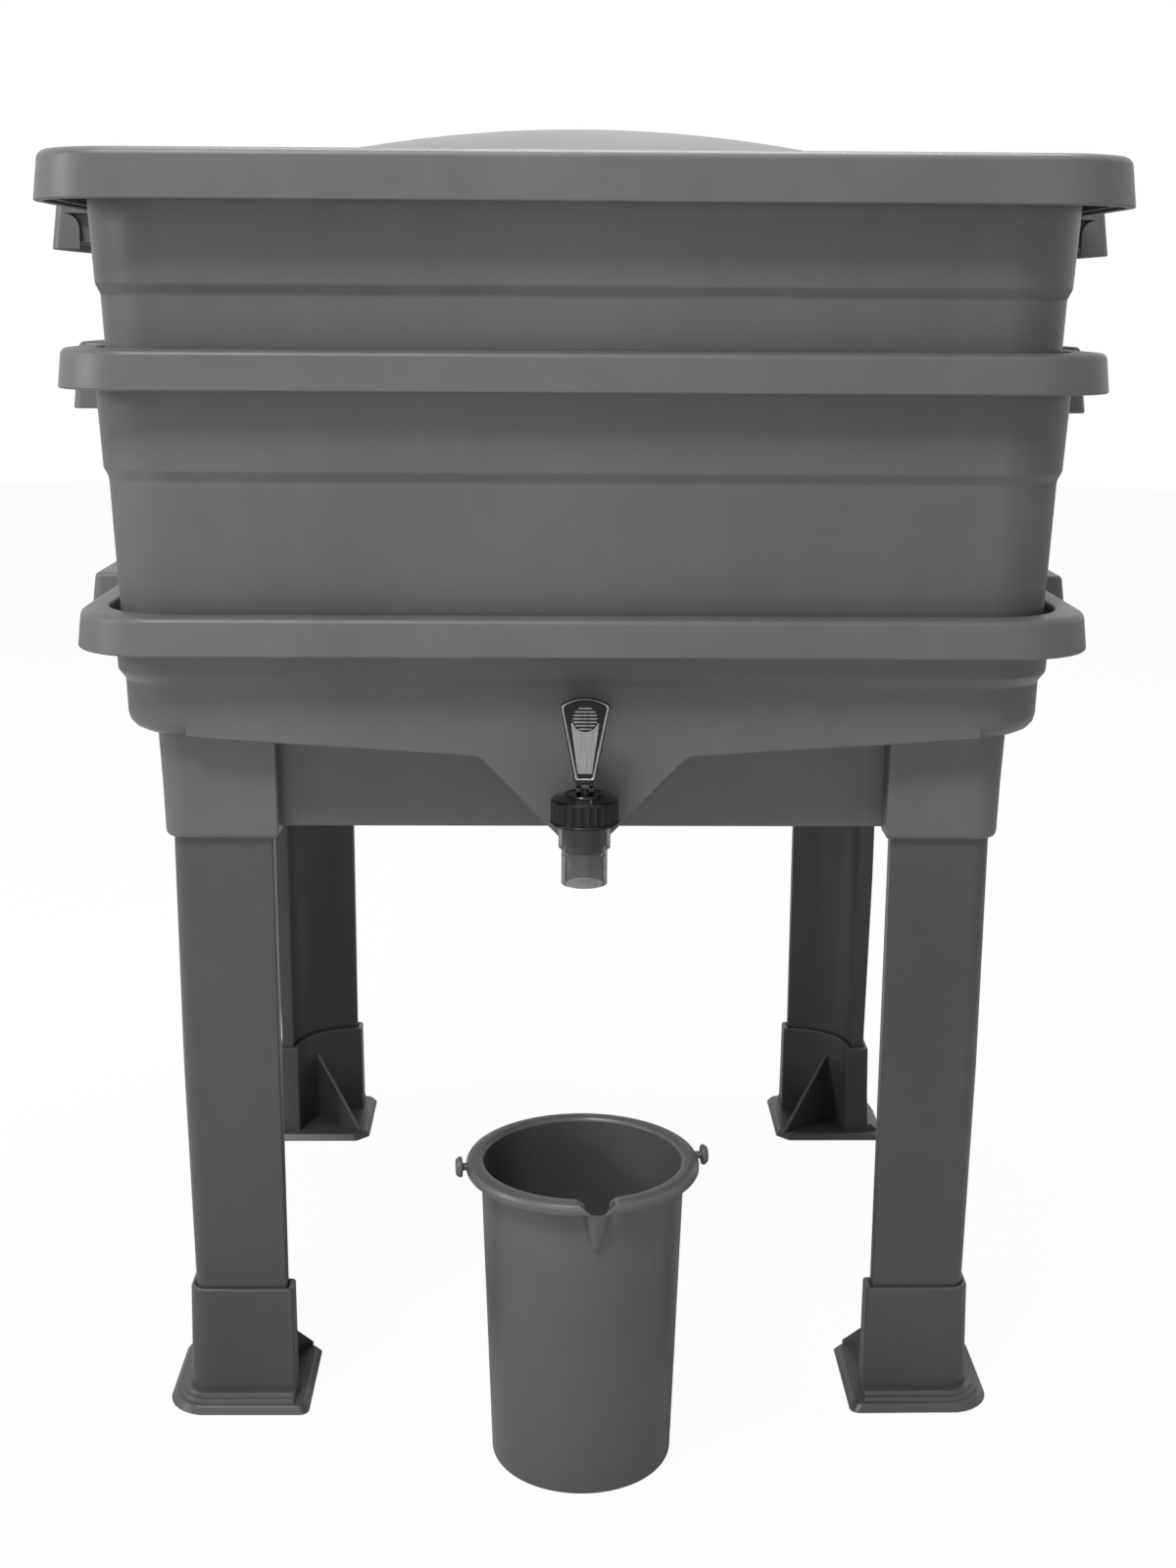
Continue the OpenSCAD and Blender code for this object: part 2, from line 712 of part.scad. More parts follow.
module collector_tray() {
    lean_w = bowl_w - bowl_lean;
    lean_r = bowl_r - bowl_lean / 2;
    turn_in = bowl_edge_r * (1 - cos(45));
    inner_edge = bowl_edge_r - col_wall / 2;
    color(plastic) difference() {
        union() {
            rim(col_rim_w, col_top);
            tapered_box(band_w, neck_w, band_r, col_top - rim_h, col_top - tray_wall / 2);
            // upper band, drawn in at its foot
            hull() {
                layer(band_w, band_r, col_top - rim_h);
                layer(band_w - bowl_lean, band_r - bowl_lean / 2, band_z + band_turn);
                layer(bowl_w, bowl_r, band_z);
            }
            // lower band with its round lower edge
            hull() {
                layer(bowl_w, bowl_r, band_z);
                layer(lean_w, lean_r, bowl_z + bowl_edge_r);
                layer(lean_w - 2 * turn_in, lean_r - turn_in, bowl_z + turn_in);
                layer(lean_w - 2 * bowl_edge_r, lean_r - bowl_edge_r, bowl_z);
            }
            front_panel();
            dish(0, front_y, bowl_floor_z - col_wall / 2);
            sump(col_wall, front_y, bowl_z + col_wall / 2);
            skirt_wall();
            for (sx = [-1, 1], sy = [-1, 1]) leg_socket(sx, sy);
        }
        // inside above the ledge
        tapered_box(band_w - 2 * col_wall, mouth_w, band_r - col_wall, col_ledge_z,
                    col_top + over);
        // opening through the ledge
        translate([0, 0, col_ledge_z - ledge_t - over]) linear_extrude(ledge_t + 2 * over)
            rounded_square(tray_base_w - 2 * ledge_w, bowl_r - col_wall - over);
        // inside of the bowl
        hull() {
            layer(bowl_w - 2 * col_wall, bowl_r - col_wall, col_ledge_z - ledge_t - slice);
            layer(lean_w - 2 * col_wall, lean_r - col_wall, bowl_floor_z + inner_edge);
            layer(lean_w - 2 * col_wall - 2 * inner_edge, lean_r - col_wall - inner_edge,
                  bowl_floor_z);
        }
        dish(col_wall, front_y + col_wall, bowl_floor_z + over);
        sump(0, front_y + col_wall, bowl_floor_z + over);
        translate([0, front_y - over, tap_z]) rotate([-90, 0, 0])
            cylinder(r = shank_r + leg_fit, h = col_wall + 2 * over);
    }
    both_sides() translate([0, 0, col_top]) handle(neck_w / 2 - col_wall, col_handle_x);
}

// The tap's pieces are drawn about its upright axis, at the height of the shank
module at_tap() {
    translate([0, tap_y, tap_z]) children();
}

module tap_body() {
    shank_end = tap_reach + col_wall + washer_t + nut_t + shank_past_nut;
    color(smoke) at_tap() difference() {
        union() {
            translate([0, 0, body_step_z]) cylinder(r = body_r, h = body_top - body_step_z);
            translate([0, 0, -spout_drop]) cylinder(r = spout_r, h = spout_drop);
            rotate([-90, 0, 0]) cylinder(r = shank_r, h = shank_end);
            translate([0, tap_reach - washer_t - flange_t, 0]) rotate([-90, 0, 0])
                cylinder(r = flange_r, h = flange_t);
        }
        translate([0, 0, chamber_z]) cylinder(r = chamber_r, h = body_top - chamber_z + over);
        translate([0, 0, lip_z]) cylinder(r = spout_in_r, h = chamber_z - lip_z + over);
        translate([0, 0, lip_z - lip_t - over])
            cylinder(r = spout_in_r - lip_w, h = lip_t + 2 * over);
        translate([0, 0, -spout_drop - over])
            cylinder(r = spout_in_r, h = spout_drop + over + lip_z - lip_t);
        rotate([-90, 0, 0]) cylinder(r = shank_bore_r, h = shank_end + over);
    }
}

module tap_cap() {
    flute_r = PI * cap_r / flute_n / 2;
    color(gloss_black) at_tap() translate([0, 0, cap_z]) difference() {
        union() {
            cylinder(r = cap_r, h = cap_ring_h);
            cylinder(r = cap_r + cap_foot_out, h = cap_foot_h);
            translate([0, 0, cap_ring_h])
                cylinder(r1 = cap_r - cap_shoulder, r2 = cap_neck_r, h = cap_dome_h);
        }
        translate([0, 0, -over])
            cylinder(r = body_r + leg_fit, h = cap_ring_h - cap_roof_t + over);
        translate([0, 0, -over])
            cylinder(r = stem_r + seat, h = cap_ring_h + cap_dome_h + 2 * over);
        for (i = [0 : flute_n - 1]) rotate(i * 360 / flute_n)
            translate([cap_r + flute_r / 2, 0, cap_foot_h])
                cylinder(r = flute_r, h = cap_ring_h - cap_foot_h - cap_shoulder, $fn = ridge_fn);
    }
}

// Stem with a foot on the seal, two flats near its top and a round head for the pin
module tap_stem() {
    low = seal_top - seal_hole;
    flat_z = pin_z - stem_flat_h;
    color(dark_plastic) at_tap() difference() {
        union() {
            translate([0, 0, low]) cylinder(r = stem_r, h = flat_z - low);
            translate([0, 0, seal_top]) cylinder(r = stem_foot_r, h = stem_foot_t);
            intersection() {
                translate([0, 0, low]) cylinder(r = stem_r, h = pin_z - low);
                translate([0, 0, pin_z / 2]) cube([stem_flat_w, 2 * stem_r, pin_z], center = true);
            }
            translate([0, 0, pin_z]) rotate([0, 90, 0])
                cylinder(r = stem_head_r, h = stem_flat_w, center = true);
        }
        translate([0, 0, pin_z]) rotate([0, 90, 0])
            cylinder(r = pin_r + pin_fit, h = stem_flat_w + 2 * over, center = true);
    }
}

// Rubber plug on the stem: a tapering cup with a round nose that closes the lip
module tap_seal() {
    steps = 8;
    top_r = chamber_r - seat;
    low_r = spout_in_r - 2 * seat;
    color(rubber) at_tap() rotate_extrude() difference() {
        polygon(concat([[0, seal_top], [top_r, seal_top]],
            [for (i = [0 : steps]) let (a = 90 * i / steps)
                [low_r * cos(a), body_step_z - seal_nose * sin(a)]]));
        translate([0, seal_top - seal_hole]) square([stem_r + thread_fit, seal_hole + over]);
    }
}

module tap_pin() {
    color(silver) at_tap() translate([0, 0, pin_z]) rotate([0, 90, 0])
        cylinder(r = pin_r, h = fork_w - 2 * fork_gap, center = true);
}

// Front outline of the paddle, with an arched top
module paddle_outline(inset) {
    steps = 8;
    side_z = lever_h - arch_h;
    low_half = lever_low_w / 2 - inset;
    top_half = lever_top_w / 2 - inset;
    arc_r = (top_half * top_half + arch_h * arch_h) / (2 * arch_h);
    half_angle = asin(top_half / arc_r);
    polygon(concat([[-low_half, paddle_low + inset], [low_half, paddle_low + inset]],
        [for (i = [0 : steps]) let (a = half_angle * (1 - 2 * i / steps))
            [arc_r * sin(a), side_z - inset + arch_h - arc_r + arc_r * cos(a)]]));
}

module tap_lever() {
    face_y = border_t - lever_t / 2;
    cheek_t = (fork_w - stem_flat_w) / 2 - fork_gap;
    color(gloss_black) at_tap() translate([0, 0, pin_z]) difference() {
        union() {
            translate([0, lever_t / 2, 0]) rotate([90, 0, 0])
                linear_extrude(lever_t - border_t) paddle_outline(0);
            translate([0, face_y, 0]) rotate([90, 0, 0]) linear_extrude(border_t) difference() {
                paddle_outline(0);
                paddle_outline(border_w);
            }
            for (side = [-1, 1])
                translate([side * (stem_flat_w + cheek_t + 2 * fork_gap) / 2, 0, 0]) cheek(cheek_t);
            translate([0, face_y, 0]) grip_ridges();
        }
        rotate([0, 90, 0]) cylinder(r = pin_r + pin_fit, h = fork_w + 2 * over, center = true);
        translate([0, face_y, 0]) lever_plate_block(0, over);
    }
}

// One cheek of the lever's fork with its cam lobe
module cheek(t) {
    rotate([90, 0, 90]) linear_extrude(t, center = true) {
        circle(boss_r);
        rotate(-90 - cam_angle) {
            translate([0, -cam_r]) square([cam_reach, 2 * cam_r]);
            translate([cam_reach, 0]) circle(cam_r);
        }
        translate([-lever_t / 2, 0]) square([lever_t, paddle_low + border_w]);
    }
}

// Ridges for the thumb, longest in the middle
module grip_ridges() {
    middle = (ridge_n - 1) / 2;
    for (i = [0 : ridge_n - 1])
        translate([0, 0, lever_h - ridge_below_top + (i - middle) * ridge_pitch])
            rotate([0, 90, 0])
                cylinder(r = ridge_r, h = ridge_w * sqrt(1 - pow((i - middle) / (ridge_n / 2), 2)),
                         center = true, $fn = ridge_fn);
}

// The bright plate in the paddle, or its pocket
module lever_plate_block(fit, past) {
    low = paddle_low + plate_rise + fit;
    high = lever_h - plate_below_top - fit;
    low_half = plate_w_low / 2 - fit;
    high_half = plate_w_high / 2 - fit;
    translate([0, plate_depth, 0]) rotate([90, 0, 0]) linear_extrude(plate_depth + past)
        polygon([[-low_half, low], [low_half, low], [high_half, high], [-high_half, high]]);
}

module lever_plate() {
    color(silver) at_tap() translate([0, border_t - lever_t / 2, pin_z])
        lever_plate_block(plate_fit, 0);
}

// A ring on the shank from y, as far out as outer_r
module shank_ring(y, outer_r, t, sides) {
    at_tap() translate([0, y, 0]) rotate([-90, 0, 0]) difference() {
        cylinder(r = outer_r, h = t, $fn = sides);
        translate([0, 0, -over]) cylinder(r = shank_r + thread_fit, h = t + 2 * over);
    }
}

module front_washer() {
    color(rubber) shank_ring(tap_reach - washer_t, flange_r, washer_t, $fn);
}

module rear_washer() {
    color(rubber) shank_ring(tap_reach + col_wall, nut_r, washer_t, $fn);
}

module back_nut() {
    color(dark_plastic) shank_ring(tap_reach + col_wall + washer_t, nut_r, nut_t, 6);
}

// Half section of the bucket, with a turned-down rim
module bucket_section() {
    steps = 5;
    lip_low = bucket_h - bucket_lip_h;
    lip_out = bucket_top_r + bucket_lip;
    base_in = bucket_base_r - bucket_wall;
    top_in = bucket_top_r - bucket_wall;
    polygon(concat(
        [[0, 0]],
        [for (i = [0 : steps]) let (a = 90 * i / steps)
            [bucket_base_r - bucket_foot_r * (1 - sin(a)), bucket_foot_r * (1 - cos(a))]],
        [[bucket_top_r, bucket_h - bucket_wall], [lip_out - bucket_wall, bucket_h - bucket_wall],
         [lip_out - bucket_wall, lip_low], [lip_out, lip_low],
         [lip_out, bucket_h - bucket_wall], [lip_out - bucket_wall, bucket_h],
         [top_in, bucket_h], [base_in, bucket_floor_t + bucket_foot_r],
         [base_in - bucket_foot_r, bucket_floor_t], [0, bucket_floor_t]]));
}

// The beak under the pouring notch, as a block, or shrunk by inset as its channel
module beak(inset) {
    tip_y = -bucket_top_r - bucket_lip + inset;
    top_z = bucket_h - notch_drop;
    low_z = bucket_h - beak_drop + (inset > 0 ? notch_drop : 0);
    half = notch_w / 3 - inset;
    tip_r = beak_tip_r - inset;
    foot_r = beak_foot_r - inset / 2;
    back_y = -bucket_top_r + 2 * bucket_wall;
    hull() {
        translate([0, tip_y + tip_r, top_z]) cylinder(r = tip_r, h = slice, $fn = hull_fn);
        translate([-half, back_y, top_z]) cube([2 * half, slice, slice]);
        translate([0, inset - bucket_top_r + foot_r / 2, low_z])
            cylinder(r = foot_r, h = slice, $fn = hull_fn);
    }
}

// The V cut through the rim, which leaves the beak's channel open above
module notch() {
    top_half = notch_w / 2;
    foot_half = notch_foot_w / 2;
    rotate([90, 0, 0]) linear_extrude(bucket_top_r + bucket_lip + over)
        polygon([[-top_half, bucket_h + slice], [-foot_half, bucket_h - notch_drop + slice],
                 [foot_half, bucket_h - notch_drop + slice], [top_half, bucket_h + slice]]);
}

module bucket_lug(side) {
    lip_out = bucket_top_r + bucket_lip;
    translate([side * (lip_out - bucket_wall / 2), 0, bucket_h - bucket_lip_h / 2])
        rotate([0, side * 90, 0]) {
            cylinder(r = lug_stem_r, h = bucket_wall / 2 + lug_stem_out + lug_head_t / 2);
            translate([0, 0, bucket_wall / 2 + lug_stem_out])
                cylinder(r1 = lug_head_r, r2 = lug_head_r * 3 / 4, h = lug_head_t);
        }
}

module bucket() {
    color(dark_plastic) translate([0, tap_y, 0]) rotate(bucket_turn) {
        difference() {
            union() {
                rotate_extrude($fn = fine_fn) bucket_section();
                beak(0);
            }
            notch();
            beak(beak_wall);
        }
        for (side = [-1, 1]) bucket_lug(side);
    }
}

lid();
upper_tray();
lower_tray();
collector_tray();
front_left_leg();
front_right_leg();
rear_left_leg();
rear_right_leg();
front_left_foot();
front_right_foot();
rear_left_foot();
rear_right_foot();
tap_body();
tap_cap();
tap_stem();
tap_seal();
tap_pin();
tap_lever();
lever_plate();
front_washer();
rear_washer();
back_nut();
bucket();
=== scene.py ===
"""The looks of a wormery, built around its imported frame.

Two worm trays and a domed lid stand nested on a collector tray with a tap, on four corner
legs, and a small bucket stands under the tap. Lengths are written in millimetres, and the
mesh builder turns them into metres. The floor is Z 0 and the front faces -Y.
"""

import logging
import math
from collections.abc import Callable, Iterable, Sequence
from dataclasses import dataclass, field
from enum import Enum

import bmesh
import bpy
from mathutils import Matrix, Vector


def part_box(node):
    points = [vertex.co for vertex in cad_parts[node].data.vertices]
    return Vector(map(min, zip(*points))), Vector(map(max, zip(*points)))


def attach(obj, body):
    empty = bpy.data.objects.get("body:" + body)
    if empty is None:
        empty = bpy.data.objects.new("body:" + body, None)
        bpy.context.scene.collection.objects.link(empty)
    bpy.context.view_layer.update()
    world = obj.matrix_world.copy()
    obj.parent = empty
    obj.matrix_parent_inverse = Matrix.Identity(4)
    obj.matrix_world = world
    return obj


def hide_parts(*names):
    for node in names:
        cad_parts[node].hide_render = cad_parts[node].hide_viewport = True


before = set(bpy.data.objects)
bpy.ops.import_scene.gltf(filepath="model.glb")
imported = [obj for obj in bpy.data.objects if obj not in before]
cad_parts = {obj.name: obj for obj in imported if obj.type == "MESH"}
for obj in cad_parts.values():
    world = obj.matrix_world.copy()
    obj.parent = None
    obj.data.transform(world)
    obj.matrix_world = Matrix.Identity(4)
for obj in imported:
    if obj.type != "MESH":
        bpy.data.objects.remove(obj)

Point2 = tuple[float, float]
Point3 = tuple[float, float, float]
Corner = tuple[float, float, float]

LOG = logging.getLogger("wormery")
# Metres in a millimetre
MM = 0.001
# Weld distance of a mesh, in metres
WELD = 2e-6
# Angle in degrees above which an edge stays sharp, and how far flat faces rule the shading
SHARP_DEG = 32.0
FLAT_WEIGHT = 60
# Chords in a round corner of a square outline
CORNER_STEPS = 12
# Largest share of an edge that the rounding of a corner takes
EDGE_SHARE = 0.48
# Overrun of a cut past the wall that it opens
OVER = 1.0
# The same measure along each axis, and white
EVEN: Point3 = (1.0, 1.0, 1.0)
WHITE = (1.0, 1.0, 1.0, 1.0)


class Body(Enum):
    """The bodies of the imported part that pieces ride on."""

    BASE = "base"
    LOWER = "lower_tray"
    UPPER = "upper_tray"
    LID = "lid"
    BUCKET = "bucket"
    LEVER = "lever"


class Slot(Enum):
    """The record's material slots."""

    BODY = "body_plastic"
    LEG = "leg_plastic"
    BUCKET = "bucket_plastic"
    BLACK = "tap_black"
    SMOKE = "tap_smoke"
    NUT = "nut_plastic"
    RUBBER = "seal_rubber"
    STEEL = "pin_steel"
    SILVER = "lever_silver"


class Join(Enum):
    """How one solid meets another."""

    ADD = "UNION"
    CUT = "DIFFERENCE"


# Outlines and meshes


def box(node: str) -> tuple[Point3, ...]:
    """A node's lowest and highest corners at rest, in millimetres."""
    return tuple(tuple(round(c / MM, 2) for c in corner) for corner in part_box(node))


def arc(centre: Point2, radius: float, start: float, end: float, steps: int) -> list[Point2]:
    """Points along an arc.

    Args:
        centre: The arc's centre.
        radius: Its radius.
        start: First angle in degrees.
        end: Last angle in degrees.
        steps: Number of chords.

    Returns:
        One more point than steps.
    """
    angles = [math.radians(start + (end - start) * i / steps) for i in range(steps + 1)]
    return [(centre[0] + radius * math.cos(a), centre[1] + radius * math.sin(a)) for a in angles]


def soften(path: Sequence[Corner], closed: bool = True, steps: int = 4) -> list[Point2]:
    """Rounds the corners of a path.

    Args:
        path: Corners as x, y and the radius of the rounding there, 0 for a sharp one.
        closed: Whether the last corner joins the first.
        steps: Chords in each rounding.

    Returns:
        The points of the rounded path.
    """
    made: list[Point2] = []
    count = len(path)
    for i, (x, y, radius) in enumerate(path):
        end = not closed and i in (0, count - 1)
        if radius <= 0 or end:
            made.append((x, y))
            continue
        here = Vector((x, y))
        back = Vector(path[i - 1][:2]) - here
        on = Vector(path[(i + 1) % count][:2]) - here
        angle = back.angle(on)
        reach = min(radius / math.tan(angle / 2), EDGE_SHARE * back.length, EDGE_SHARE * on.length)
        round_r = reach * math.tan(angle / 2)
        centre = here + (back.normalized() + on.normalized()).normalized() * (
            round_r / math.sin(angle / 2))
        first = here + back.normalized() * reach - centre
        last = here + on.normalized() * reach - centre
        sweep = math.pi - angle
        for k in range(steps + 1):
            t = k / steps
            spot = centre + (first * math.sin((1 - t) * sweep)
                             + last * math.sin(t * sweep)) / math.sin(sweep)
            made.append((spot.x, spot.y))
    return made


def between(stops: Sequence[Point2], value: float) -> float:
    """Value of a broken line at a place; the line stays level beyond its ends.

    Args:
        stops: Places and values, in rising order of place.
        value: The place.

    Returns:
        The line's value there.
    """
    if value <= stops[0][0]:
        return stops[0][1]
    for (x0, y0), (x1, y1) in zip(stops, stops[1:]):
        if value <= x1:
            return y0 + (y1 - y0) * (value - x0) / (x1 - x0)
    return stops[-1][1]


def square_ring(half: float, corner: float, z: float) -> list[Point3]:
    """A level square outline with round corners.

    Args:
        half: Half of its width.
        corner: Radius of its corners, at most the half width.
        z: Its height.

    Returns:
        The outline's points.
    """
    corner = min(corner, half)
    inner = half - corner
    ring: list[Point3] = []
    for turn, (sx, sy) in enumerate(((1, -1), (1, 1), (-1, 1), (-1, -1))):
        spots = arc((sx * inner, sy * inner), corner, 90 * turn - 90, 90 * turn, CORNER_STEPS)
        ring.extend((x, y, z) for x, y in spots)
    return ring


@dataclass
class Shell:
    """A mesh that grows ring by ring, in millimetres."""

    points: list[Point3] = field(default_factory=list)
    faces: list[tuple[int, ...]] = field(default_factory=list)

    def ring(self, spots: Iterable[Point3]) -> list[int]:
        """Adds points.

        Args:
            spots: The points.

        Returns:
            Their numbers.
        """
        first = len(self.points)
        self.points.extend(spots)
        return list(range(first, len(self.points)))

    def strip(self, low: Sequence[int], high: Sequence[int], around: bool = True) -> None:
        """Joins two rings of the same length by quads.

        Args:
            low: First ring.
            high: Second ring.
            around: Whether the rings are closed.
        """
        for i in range(len(low) if around else len(low) - 1):
            j = (i + 1) % len(low)
            self.faces.append((low[i], low[j], high[j], high[i]))

    def loft(self, rings: Sequence[Sequence[Point3]], loop: bool = False,
             caps: bool = False) -> "Shell":
        """Joins closed rings one after the other.

        Args:
            rings: The rings, each of the same number of points.
            loop: Whether the last ring joins the first.
            caps: Whether the first and last rings are filled.

        Returns:
            This shell.
        """
        made = [self.ring(r) for r in rings]
        for low, high in zip(made, made[1:]):
            self.strip(low, high)
        if loop:
            self.strip(made[-1], made[0])
        if caps:
            self.faces.append(tuple(reversed(made[0])))
            self.faces.append(tuple(made[-1]))
        return self

    def add(self, other: "Shell") -> "Shell":
        """Takes in another shell as it is.

        Args:
            other: The other shell.

        Returns:
            This shell.
        """
        shift = len(self.points)
        self.points.extend(other.points)
        self.faces.extend(tuple(i + shift for i in f) for f in other.faces)
        return self

    def moved(self, matrix: Matrix) -> "Shell":
        """A copy of the shell, moved by a matrix whose shift is in millimetres."""
        return Shell([tuple(matrix @ Vector(p)) for p in self.points], list(self.faces))

    def mirrored(self) -> "Shell":
        """A copy of the shell together with its mirror image across X 0."""
        return Shell(list(self.points), list(self.faces)).add(
            self.moved(Matrix.Diagonal((-1, 1, 1, 1))))

    def mesh(self, name: str) -> bpy.types.Mesh:
        """Builds the mesh in metres, welded and with its faces turned outward.

        Args:
            name: The mesh's name.

        Returns:
            The mesh.
        """
        mesh = bpy.data.meshes.new(name)
        mesh.from_pydata([[c * MM for c in p] for p in self.points], [], self.faces)
        work = bmesh.new()
        work.from_mesh(mesh)
        bmesh.ops.remove_doubles(work, verts=work.verts, dist=WELD)
        bmesh.ops.dissolve_degenerate(work, edges=work.edges, dist=WELD)
        bmesh.ops.recalc_face_normals(work, faces=work.faces)
        work.to_mesh(mesh)
        work.free()
        return mesh

    def make(self, name: str) -> bpy.types.Object:
        """Builds the object.

        Args:
            name: The name of the object and of its mesh.

        Returns:
            The object, linked to the scene.
        """
        piece = bpy.data.objects.new(name, self.mesh(name))
        bpy.context.scene.collection.objects.link(piece)
        return piece


def block(low: Point3, high: Point3) -> Shell:
    """A plain block, for cuts only.

    Args:
        low: Its lowest corner.
        high: Its highest corner.

    Returns:
        The shell.
    """
    (x0, y0, z0), (x1, y1, z1) = low, high
    return Shell().loft([[(x0, y0, z), (x1, y0, z), (x1, y1, z), (x0, y1, z)] for z in (z0, z1)],
                        caps=True)


def turned(profile: Sequence[Point2], steps: int, loop: bool = False,
           wave: Callable[[float, float], float] | None = None) -> Shell:
    """A shape turned about the Z axis.

    Args:
        profile: Radii and heights along the profile.
        steps: Points round the axis.
        loop: Whether the profile's last point joins its first.
        wave: What is added to the radius, from the angle and the height.

    Returns:
        The shell.
    """
    rings = []
    for r, z in profile:
        ring = []
        for k in range(steps):
            a = 2 * math.pi * k / steps
            out = r + (wave(a, z) if wave else 0)
            ring.append((out * math.cos(a), out * math.sin(a), z))
        rings.append(ring)
    return Shell().loft(rings, loop=loop)


def meet(piece: bpy.types.Object, other: Shell, how: Join) -> None:
    """Joins a shell to a piece, or cuts it out of it.

    Args:
        piece: The object that changes.
        other: The shell, which leaves no object.
        how: Whether it is added or cut.
    """
    tool = other.make("tool")
    step = piece.modifiers.new("meet", "BOOLEAN")
    step.operation = how.value
    step.object = tool
    step.solver = "EXACT"
    bpy.context.view_layer.update()
    done = bpy.data.meshes.new_from_object(
        piece.evaluated_get(bpy.context.evaluated_depsgraph_get()))
    piece.modifiers.clear()
    old, piece.data = piece.data, done
    done.name = piece.name
    bpy.data.meshes.remove(old)
    spare = tool.data
    bpy.data.objects.remove(tool)
    bpy.data.meshes.remove(spare)


def include(piece: bpy.types.Object, other: Shell) -> None:
    """Puts a shell into a piece's mesh as an island of its own.

    Args:
        piece: The object that changes.
        other: The shell.
    """
    extra = other.mesh("extra")
    work = bmesh.new()
    work.from_mesh(piece.data)
    work.from_mesh(extra)
    work.to_mesh(piece.data)
    work.free()
    bpy.data.meshes.remove(extra)


def finish_surface(piece: bpy.types.Object, sharp: float = SHARP_DEG) -> None:
    """Smooths a piece's shading, with its flat faces kept flat.

    Args:
        piece: The object.
        sharp: Angle in degrees above which an edge stays sharp.
    """
    piece.data.shade_smooth()
    piece.data.set_sharp_from_angle(angle=math.radians(sharp))
    weigh = piece.modifiers.new("normals", "WEIGHTED_NORMAL")
    weigh.keep_sharp = True
    weigh.weight = FLAT_WEIGHT


def dress(piece: bpy.types.Object, material: bpy.types.Material) -> None:
    """Gives a piece its material, in place of any that it has.

    Args:
        piece: The object.
        material: Its material.
    """
    piece.data.materials.clear()
    piece.data.materials.append(material)
    LOG.info("%s: %d faces, %s", piece.name, len(piece.data.polygons), material.name)


def settle(piece: bpy.types.Object, body: Body, material: bpy.types.Material,
           node: str) -> None:
    """Dresses a piece, sets it on its body and lets it stand for its node.

    Args:
        piece: The object.
        body: The body it rides on.
        material: Its material.
        node: The node that it replaces.
    """
    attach(piece, body.value)
    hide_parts(node)
    dress(piece, material)


# Materials


@dataclass(frozen=True)
class Value:
    """A number socket that takes part in sums."""

    paint: "Paint"
    socket: bpy.types.NodeSocket

    def maths(self, operation: str, first: "Value | float", second: "Value | float") -> "Value":
        """Adds a Math node and gives its result."""
        node = self.paint.node("ShaderNodeMath", {"operation": operation}, {0: first, 1: second})
        return Value(self.paint, node.outputs[0])

    def __add__(self, other: "Value | float") -> "Value":
        """This plus another."""
        return self.maths("ADD", self, other)

    def __radd__(self, other: float) -> "Value":
        """A number plus this."""
        return self.maths("ADD", other, self)

    def __sub__(self, other: "Value | float") -> "Value":
        """This less another."""
        return self.maths("SUBTRACT", self, other)

    def __rsub__(self, other: float) -> "Value":
        """A number less this."""
        return self.maths("SUBTRACT", other, self)

    def __mul__(self, other: "Value | float") -> "Value":
        """This times another."""
        return self.maths("MULTIPLY", self, other)

    def __rmul__(self, other: float) -> "Value":
        """A number times this."""
        return self.maths("MULTIPLY", other, self)

    def __or__(self, other: "Value") -> "Value":
        """The larger of this and another."""
        return self.maths("MAXIMUM", self, other)

    def smooth(self, low: float, high: float) -> "Value":
        """A soft step from 0 at low to 1 at high."""
        return Value(self.paint, self.paint.node(
            "ShaderNodeMapRange", {"interpolation_type": "SMOOTHSTEP"},
            {0: self, 1: low, 2: high, 3: 0.0, 4: 1.0}).outputs[0])


@dataclass(frozen=True)
class Noise:
    """Soft noise: its waves to the metre, its detail and its stretch along each axis."""

    scale: float
    detail: float
    stretch: Point3 = EVEN


